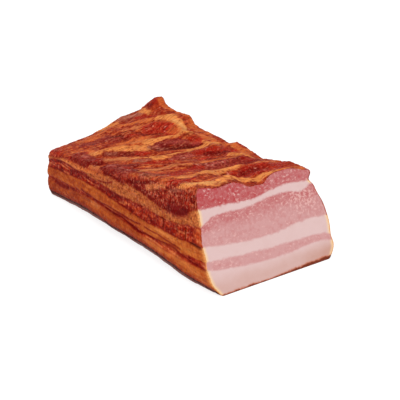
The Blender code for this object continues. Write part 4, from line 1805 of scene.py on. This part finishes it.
@dataclass(frozen=True)
class BaconFinish:
    """The finish of a layer: smoked outside, fresh on the cut, with rind under the lowest.

    A scale is a noise's lumps to a millimetre along each axis, and for the fibres across them and along
    them. A span is where a share is 0 and where it is 1. A sway is how far noise moves a border or a value.
    """

    name: str
    cut_fat: Tint = (213, 182, 179)
    cut_beige: Tint = (192, 146, 132)
    cut_lean: Tint = (200, 149, 147)
    cut_red: Tint = (174, 68, 70)
    fleck: Tint = (224, 178, 172)
    rim: Tint = (236, 200, 150)
    pale_crumb: Tint = (200, 120, 88)
    dark_crumb: Tint = (88, 10, 4)
    rind_glow: Tint = (184, 92, 52)
    rind_edge: Tint = (62, 14, 8)
    cut_rind: Tint = (116, 52, 34)
    rind: Tint = (112, 66, 60)
    roughness: float = 0.44
    specular: float = 0.015
    bump: float = 0.65
    bump_height: float = 0.7
    bump_parts: Triple = (0.5, 0.8, 0.4)
    bump_span: Span = (0.0, 1.5)
    bump_loss: float = -0.8
    uneven_gloss: float = 0.25
    gloss_sink: float = 0.12
    cut_gloss_span: Span = (0.0, 2.0)
    cut_gloss: float = 0.05
    fine_scale: Triple = (0.5, 0.5, 0.5)
    grit_scale: Triple = (1.1, 1.1, 1.1)
    crumb_scale: Triple = (0.85, 0.85, 0.45)
    coarse_detail: float = 2.0
    crust_fibres: Span = (0.75, 0.10)
    side_fibres: Span = (0.8, 0.13)
    skin_sway: float = 1.6
    skin_span: Span = (0.9, 0.3)
    fibre_contrast: float = 0.9
    grit_contrast: Span = (3.2, 0.3)
    crumb_share: float = 0.8
    pale_span: Span = (0.54, 0.68)
    dark_span: Span = (0.47, 0.37)
    fat_sway: float = 1.9
    fat_span: Span = (-0.8, 0.7)
    broad_scale: Triple = (0.16, 0.16, 0.22)
    red_broad_sway: float = 0.5
    red_fine_sway: float = 0.8
    fleck_scale: Triple = (0.62, 0.5, 0.75)
    fleck_detail: float = 4.0
    fleck_roughness: float = 0.65
    fleck_lift: float = 0.16
    fleck_span: Span = (0.56, 0.78)
    fleck_share: float = 0.75
    beige_sway: float = 0.4
    rim_waver: float = 1.4
    rim_span: Span = (4.0, 1.0)
    rim_share: float = 0.9
    rind_sway: float = 1.6
    cut_span: Span = (0.0, 1.0)
    glow_span: Span = (1.4, 0.2)
    glow_share: float = 0.8
    edge_span: Span = (0.7, -0.2)
    rind_span: Span = (-1.0, -2.6)

    def material(self) -> bpy.types.Material:
        """Makes the material.

        Returns:
            The material, with all its nodes.
        """
        material = bpy.data.materials.new(self.name)
        material.use_nodes = True
        shader = material.node_tree.nodes["Principled BSDF"]
        shader.inputs["Specular IOR Level"].default_value = self.specular
        weave = self._weave(NodeBench(material.node_tree))
        bench = weave.bench
        crust, cut = self._crust(weave), self._cut(weave)
        border = bench.sway(weave.fine, self.skin_sway, weave.depth)
        colour = bench.mix(bench.step(border, self.skin_span), cut, crust)
        bench.feed(shader.inputs["Base Color"], self._rind(weave, colour))
        bench.feed(shader.inputs["Roughness"], self._roughness(weave))
        bench.feed(shader.inputs["Normal"], self._bumps(weave))
        return material

    def _weave(self, bench: NodeBench) -> Weave:
        """Makes what the parts share.

        Args:
            bench: Where the nodes go.

        Returns:
            The noises and the depth.
        """
        place = bench.add("ShaderNodeTexCoord").outputs["Object"]
        return Weave(
            bench=bench,
            place=place,
            fine=bench.noise(bench.stretched(place, self.fine_scale)),
            grit=bench.noise(bench.stretched(place, self.grit_scale), self.coarse_detail),
            fibres=self._fibres(bench, place),
            crumbs=bench.noise(bench.stretched(place, self.crumb_scale), self.coarse_detail),
            depth=bench.attribute("depth"),
        )

    def _fibres(self, bench: NodeBench, place: Socket) -> Socket:
        """Draws the fibres: across the slab on the crust, and along the layers on the sides.

        Args:
            bench: Where the nodes go.
            place: The place, in metres.

        Returns:
            Stretched noise.
        """
        parts = bench.add("ShaderNodeSeparateXYZ")
        bench.feed(parts.inputs[0], place)
        x, y, z = parts.outputs
        (crust_across, crust_run), (side_across, side_run) = self.crust_fibres, self.side_fibres
        lines = []
        for across, run in (
            (bench.times(bench.attribute("flow"), crust_across), bench.times(y, crust_run / MM)),
            (bench.times(z, side_across / MM), bench.times(bench.math("ADD", x, y), side_run / MM)),
        ):
            joined = bench.add("ShaderNodeCombineXYZ")
            bench.feed(joined.inputs["X"], across)
            bench.feed(joined.inputs["Y"], run)
            lines.append(bench.noise(joined.outputs[0]))
        on_crust, on_sides = lines
        return bench.mix_numbers(bench.attribute("top"), on_sides, on_crust)

    def _crust(self, weave: Weave) -> Socket:
        """Works out the colour of the smoked skin.

        Args:
            weave: What the parts share.

        Returns:
            The colour.
        """
        bench = weave.bench
        crumb = bench.attribute("crumb")
        light = bench.sway(weave.fibres, self.fibre_contrast, 1.0)
        light = bench.sway(weave.grit, bench.math("MULTIPLY_ADD", crumb, *self.grit_contrast), light)
        colour = bench.shade(bench.attribute("smoke", "Color"), light)
        amount = bench.times(crumb, self.crumb_share)
        for span, tint in ((self.pale_span, self.pale_crumb), (self.dark_span, self.dark_crumb)):
            colour = bench.mix(bench.times(amount, bench.step(weave.crumbs, span)), colour, linear(tint))
        return colour

    def _cut(self, weave: Weave) -> Socket:
        """Works out the colour of the fresh cut.

        Args:
            weave: What the parts share.

        Returns:
            The colour.
        """
        bench, fine = weave.bench, weave.fine
        fatness = bench.step(bench.sway(fine, self.fat_sway, bench.attribute("fat")), self.fat_span)
        broad = bench.noise(bench.stretched(weave.place, self.broad_scale))
        deep = bench.sway(broad, self.red_broad_sway, bench.attribute("red"))
        deep = bench.sway(fine, self.red_fine_sway, deep, clamp=True)
        lean = bench.mix(deep, linear(self.cut_lean), linear(self.cut_red))
        specks = bench.stretched(weave.place, self.fleck_scale)
        specks = bench.noise(specks, self.fleck_detail, self.fleck_roughness)
        specks = bench.math("MULTIPLY_ADD", bench.attribute("fleck"), self.fleck_lift, specks)
        flecked = bench.times(bench.step(specks, self.fleck_span), self.fleck_share)
        lean = bench.mix(flecked, lean, linear(self.fleck))
        pale = bench.sway(broad, self.beige_sway, bench.attribute("beige"))
        fat = bench.mix(bench.math("MAXIMUM", pale, 0.0), linear(self.cut_fat), linear(self.cut_beige))
        edge = bench.step(bench.math("MULTIPLY_ADD", fine, self.rim_waver, weave.depth), self.rim_span)
        fat = bench.mix(bench.times(edge, self.rim_share), fat, linear(self.rim))
        return bench.mix(fatness, lean, fat)

    def _rind(self, weave: Weave, colour: Socket) -> Socket:
        """Lays the rind along the base, and painted shade up the left side's foot, with a dark line at its
        upper edge.

        Args:
            weave: What the parts share.
            colour: The colour above it.

        Returns:
            The colour.
        """
        bench = weave.bench
        height = bench.sway(weave.fine, self.rind_sway, bench.attribute("rind"))
        on_cut = bench.step(weave.depth, self.cut_span)
        glow = bench.times(bench.times(bench.step(height, self.glow_span), on_cut), self.glow_share)
        colour = bench.mix(glow, colour, linear(self.rind_glow))
        dark = bench.mix(on_cut, linear(self.rind_edge), linear(self.cut_rind))
        colour = bench.mix(bench.step(height, self.edge_span), colour, dark)
        return bench.mix(bench.step(height, self.rind_span), colour, linear(self.rind))

    def _roughness(self, weave: Weave) -> Socket:
        """Works out the roughness, uneven all over and a little higher on the cut.

        Args:
            weave: What the parts share.

        Returns:
            The roughness.
        """
        bench = weave.bench
        uneven = bench.math("MULTIPLY_ADD", weave.grit, self.uneven_gloss, self.roughness - self.gloss_sink)
        on_cut = bench.step(weave.depth, self.cut_gloss_span)
        return bench.math("MULTIPLY_ADD", on_cut, self.cut_gloss, uneven, clamp=True)

    def _bumps(self, weave: Weave) -> Socket:
        """Works out the finest relief, strong on the crust and faint on the cut.

        Args:
            weave: What the parts share.

        Returns:
            The bent direction.
        """
        bench = weave.bench
        noises = (weave.grit, weave.fibres, weave.fine)
        grit, fibres, fine = (bench.times(noise, part) for noise, part in zip(noises, self.bump_parts))
        height = bench.math("ADD", bench.math("ADD", grit, fibres), fine)
        faint = bench.math("MULTIPLY_ADD", bench.step(weave.depth, self.bump_span), self.bump_loss, 1.0)
        node = bench.add("ShaderNodeBump")
        bench.feed(node.inputs["Strength"], bench.times(faint, self.bump))
        node.inputs["Distance"].default_value = self.bump_height * MM
        bench.feed(node.inputs["Height"], height)
        return node.outputs["Normal"]


@dataclass(frozen=True)
class Layer:
    """One layer of the slab: the node that its piece replaces, its slot and its finish."""

    node: str
    slot: str
    finish: BaconFinish


@dataclass
class Slab:
    """The whole slab, as one piece for each layer."""

    form: SlabForm = SlabForm()
    relief: Relief = Relief()
    fill_along: int = 26
    fill_across: int = 11
    layers: tuple[Layer, ...] = tuple(
        Layer(node, slot, BaconFinish(slot))
        for node, slot in (
            ("fat_back", "rind_fat"),
            ("lean_lower", "lower_lean"),
            ("fat_middle", "middle_fat"),
            ("lean_main", "main_lean"),
            ("fat_upper", "upper_fat"),
            ("lean_top", "top_crust"),
        )
    )
    skin: Skin = field(init=False)
    coat: Coat = field(init=False)
    points: Array = field(init=False)
    facing: Array = field(init=False)

    def __post_init__(self) -> None:
        """Makes the skin, its coat and its relief."""
        self.skin = Skin(self.form)
        self.coat = Smokehouse(self.skin).coat()
        self.points = self.relief.shape(self.skin, self.coat)
        self.facing = self.skin.normals(self.points)

    def build(self) -> list[bpy.types.Object]:
        """Builds the pieces.

        Returns:
            One piece for each layer, from the base up.
        """
        shift = self._shift()
        fill = self._fill()
        return [self._piece(number, layer, fill, shift) for number, layer in enumerate(self.layers)]

    def _shift(self) -> Array:
        """Finds how far the slab moves so that its box is centred where the solids' box is.

        Returns:
            The move, in millimetres.
        """
        low, high = self.skin.points.min(axis=0), self.skin.points.max(axis=0)
        middle = (np.array(CAD_BOX[0]) + np.array(CAD_BOX[1])) / 2 / MM
        return np.array([middle[0] - (low[0] + high[0]) / 2, middle[1] - (low[1] + high[1]) / 2, 0.0])

    def _fill(self) -> tuple[Array, Array]:
        """Meshes the inside of a ring, for the seams and the base.

        Returns:
            The fractions (a, b) of the inner points, and the triangles, which face up and number the ring's
            points first.
        """
        a = np.linspace(0.0, 1.0, self.fill_along + 2)[1:-1]
        b = np.linspace(0.0, 1.0, self.fill_across + 2)[1:-1]
        inner = np.array([(i, j) for i in a for j in b])
        flat = np.vstack([self.skin.ring, inner]) * (self.form.length, self.form.width)
        count = self.skin.count
        edges = [(i, (i + 1) % count) for i in range(count)]
        corners = [Vector(point) for point in flat]
        triangles = np.array(delaunay_2d_cdt(corners, edges, [], TRIANGLES_INSIDE, SAME_POINT)[2])
        p, q, r = (flat[triangles[:, corner]] for corner in range(3))
        area = (q[:, 0] - p[:, 0]) * (r[:, 1] - p[:, 1]) - (q[:, 1] - p[:, 1]) * (r[:, 0] - p[:, 0])
        triangles[area < 0] = triangles[area < 0][:, ::-1]
        return inner, triangles

    def _level(self, level: int, inner: Array) -> Array:
        """Places the inner points of a seam, or of the base.

        Args:
            level: 0 for the base, then the seams from the lowest.
            inner: Their fractions (a, b).

        Returns:
            The points.
        """
        a, b = inner.T
        z = self.form.seams[level - 1].height(a, b) if level else np.zeros_like(a)
        return np.column_stack([*self.form.place(a, b, z, self.form.crust_height(a, b)), z])

    def _piece(
        self, number: int, layer: Layer, fill: tuple[Array, Array], shift: Array
    ) -> bpy.types.Object:
        """Builds one layer's piece.

        Args:
            number: The layer's number, from the base up.
            layer: The layer.
            fill: The inner points and triangles of a seam.
            shift: The move into the frame.

        Returns:
            The piece, as one closed mesh with its finish, riding on the slab's body.
        """
        skin = self.skin
        inner, triangles = fill
        first, last = skin.first_row(number), skin.first_row(number + 1)
        start, top_row = first * skin.count, (last - first) * skin.count
        is_top = number == len(self.layers) - 1
        end = len(skin.a) if is_top else (last + 1) * skin.count
        size = end - start
        below = np.where(triangles < skin.count, triangles, triangles - skin.count + size)[:, ::-1]
        blocks = [self.points[start:end], self._level(number, inner)]
        upward = [self.facing[start:end], np.tile(DOWN, (len(inner), 1))]
        faces = [*skin.side_faces(first, last).tolist(), *below.tolist()]
        if is_top:
            faces += (skin.crust_faces() + top_row).tolist()
        else:
            shifted = triangles - skin.count + size + len(inner)
            faces += np.where(triangles < skin.count, triangles + top_row, shifted).tolist()
            blocks.append(self._level(number + 1, inner))
            upward.append(np.tile(UP, (len(inner), 1)))
        mesh = bpy.data.meshes.new(layer.node)
        mesh.from_pydata(((np.vstack(blocks) + shift) * MM).tolist(), [], faces)
        self._store_coat(mesh, slice(start, end), size)
        mesh.shade_smooth()
        mesh.normals_split_custom_set_from_vertices(np.vstack(upward).tolist())
        mesh.materials.append(layer.finish.material())
        piece = bpy.data.objects.new(f"{layer.node}_skin", mesh)
        bpy.context.scene.collection.objects.link(piece)
        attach(piece, "root")
        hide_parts(layer.node)
        return piece

    def _store_coat(self, mesh: bpy.types.Mesh, rows: slice, size: int) -> None:
        """Stores the coat on a mesh.

        Args:
            mesh: The mesh, whose skin points come first.
            rows: The skin's points that it holds.
            size: How many they are.
        """
        for name in Coat.NUMBERS:
            values = np.zeros(len(mesh.vertices), np.float32)
            values[:size] = getattr(self.coat, name)[rows]
            mesh.attributes.new(name, "FLOAT", "POINT").data.foreach_set("value", values)
        colours = np.ones((len(mesh.vertices), 4), np.float32)
        colours[:size, :3] = light_of(self.coat.smoke[rows])
        mesh.attributes.new("smoke", "FLOAT_COLOR", "POINT").data.foreach_set("color", colours.ravel())


@dataclass(frozen=True)
class Lamp:
    """A soft square light that looks at the slab."""

    name: str
    place: Triple
    size: float
    power: float

    def build(self) -> None:
        """Adds the light to the scene."""
        data = bpy.data.lights.new(self.name, "AREA")
        data.size = self.size
        data.energy = self.power
        lamp = bpy.data.objects.new(self.name, data)
        lamp.location = self.place
        lamp.rotation_euler = (-Vector(self.place)).to_track_quat("-Z", "Y").to_euler()
        bpy.context.scene.collection.objects.link(lamp)


@dataclass(frozen=True)
class Studio:
    """A pale floor, soft light all round and the camera. Lengths are in metres.

    The floor's grain is in lumps to a millimetre, and its palest parts are floor_paler above its tint.
    """

    floor_size: float = 6.0
    floor_tint: Tint = (150, 150, 150)
    floor_paler: int = 8
    floor_grain: Triple = (0.05, 0.05, 0.05)
    floor_roughness: float = 0.8
    floor_glow: float = 0.79
    world_strength: float = 0.88
    lens: float = 90.0
    camera_place: Triple = (0.48581, -0.34579, 0.25656)
    camera_target: Triple = (0.03003, -0.00475, 0.0272)
    lamps: tuple[Lamp, ...] = (
        Lamp("key", (1.0, -0.55, 1.5), 0.8, 8.5),
        Lamp("left_fill", (-0.2, -1.6, 0.8), 1.2, 3.0),
    )

    def build(self) -> None:
        """Builds the studio."""
        self._floor()
        self._world()
        self._camera()
        for lamp in self.lamps:
            lamp.build()
        bpy.context.scene.view_settings.view_transform = "Standard"

    def _floor(self) -> None:
        """Lays the floor, a table lit from below, with a faint unevenness in its finish."""
        half = self.floor_size / 2
        corners = [(-half, -half, 0), (half, -half, 0), (half, half, 0), (-half, half, 0)]
        mesh = bpy.data.meshes.new("floor")
        mesh.from_pydata(corners, [], [(0, 1, 2, 3)])
        material = bpy.data.materials.new("floor")
        material.use_nodes = True
        bench = NodeBench(material.node_tree)
        place = bench.add("ShaderNodeTexCoord").outputs["Object"]
        grain = bench.noise(bench.stretched(place, self.floor_grain))
        shader = material.node_tree.nodes["Principled BSDF"]
        shader.inputs["Roughness"].default_value = self.floor_roughness
        paler = tuple(part + self.floor_paler for part in self.floor_tint)
        bench.feed(shader.inputs["Base Color"], bench.mix(grain, linear(self.floor_tint), linear(paler)))
        shader.inputs["Emission Color"].default_value = WHITE
        shader.inputs["Emission Strength"].default_value = self.floor_glow
        mesh.materials.append(material)
        floor = bpy.data.objects.new("floor", mesh)
        bpy.context.scene.collection.objects.link(floor)

    def _world(self) -> None:
        """Lights the scene evenly from all round."""
        world = bpy.data.worlds.new("studio")
        world.use_nodes = True
        background = world.node_tree.nodes["Background"]
        background.inputs["Color"].default_value = WHITE
        background.inputs["Strength"].default_value = self.world_strength
        bpy.context.scene.world = world

    def _camera(self) -> None:
        """Places the camera where the photo was taken from."""
        data = bpy.data.cameras.new("camera")
        data.lens = self.lens
        camera = bpy.data.objects.new("camera", data)
        camera.location = self.camera_place
        aim = Vector(self.camera_target) - Vector(self.camera_place)
        camera.rotation_euler = aim.to_track_quat("-Z", "Y").to_euler()
        bpy.context.scene.collection.objects.link(camera)
        bpy.context.scene.camera = camera


def main() -> None:
    """Builds the studio and the slab, and reports each piece."""
    logging.basicConfig(level=logging.INFO, format="%(message)s")
    Studio().build()
    for piece in Slab().build():
        triangles = sum(len(face.vertices) - 2 for face in piece.data.polygons)
        LOG.info("%s: %d triangles", piece.name, triangles)


if __name__ == "__main__":
    main()
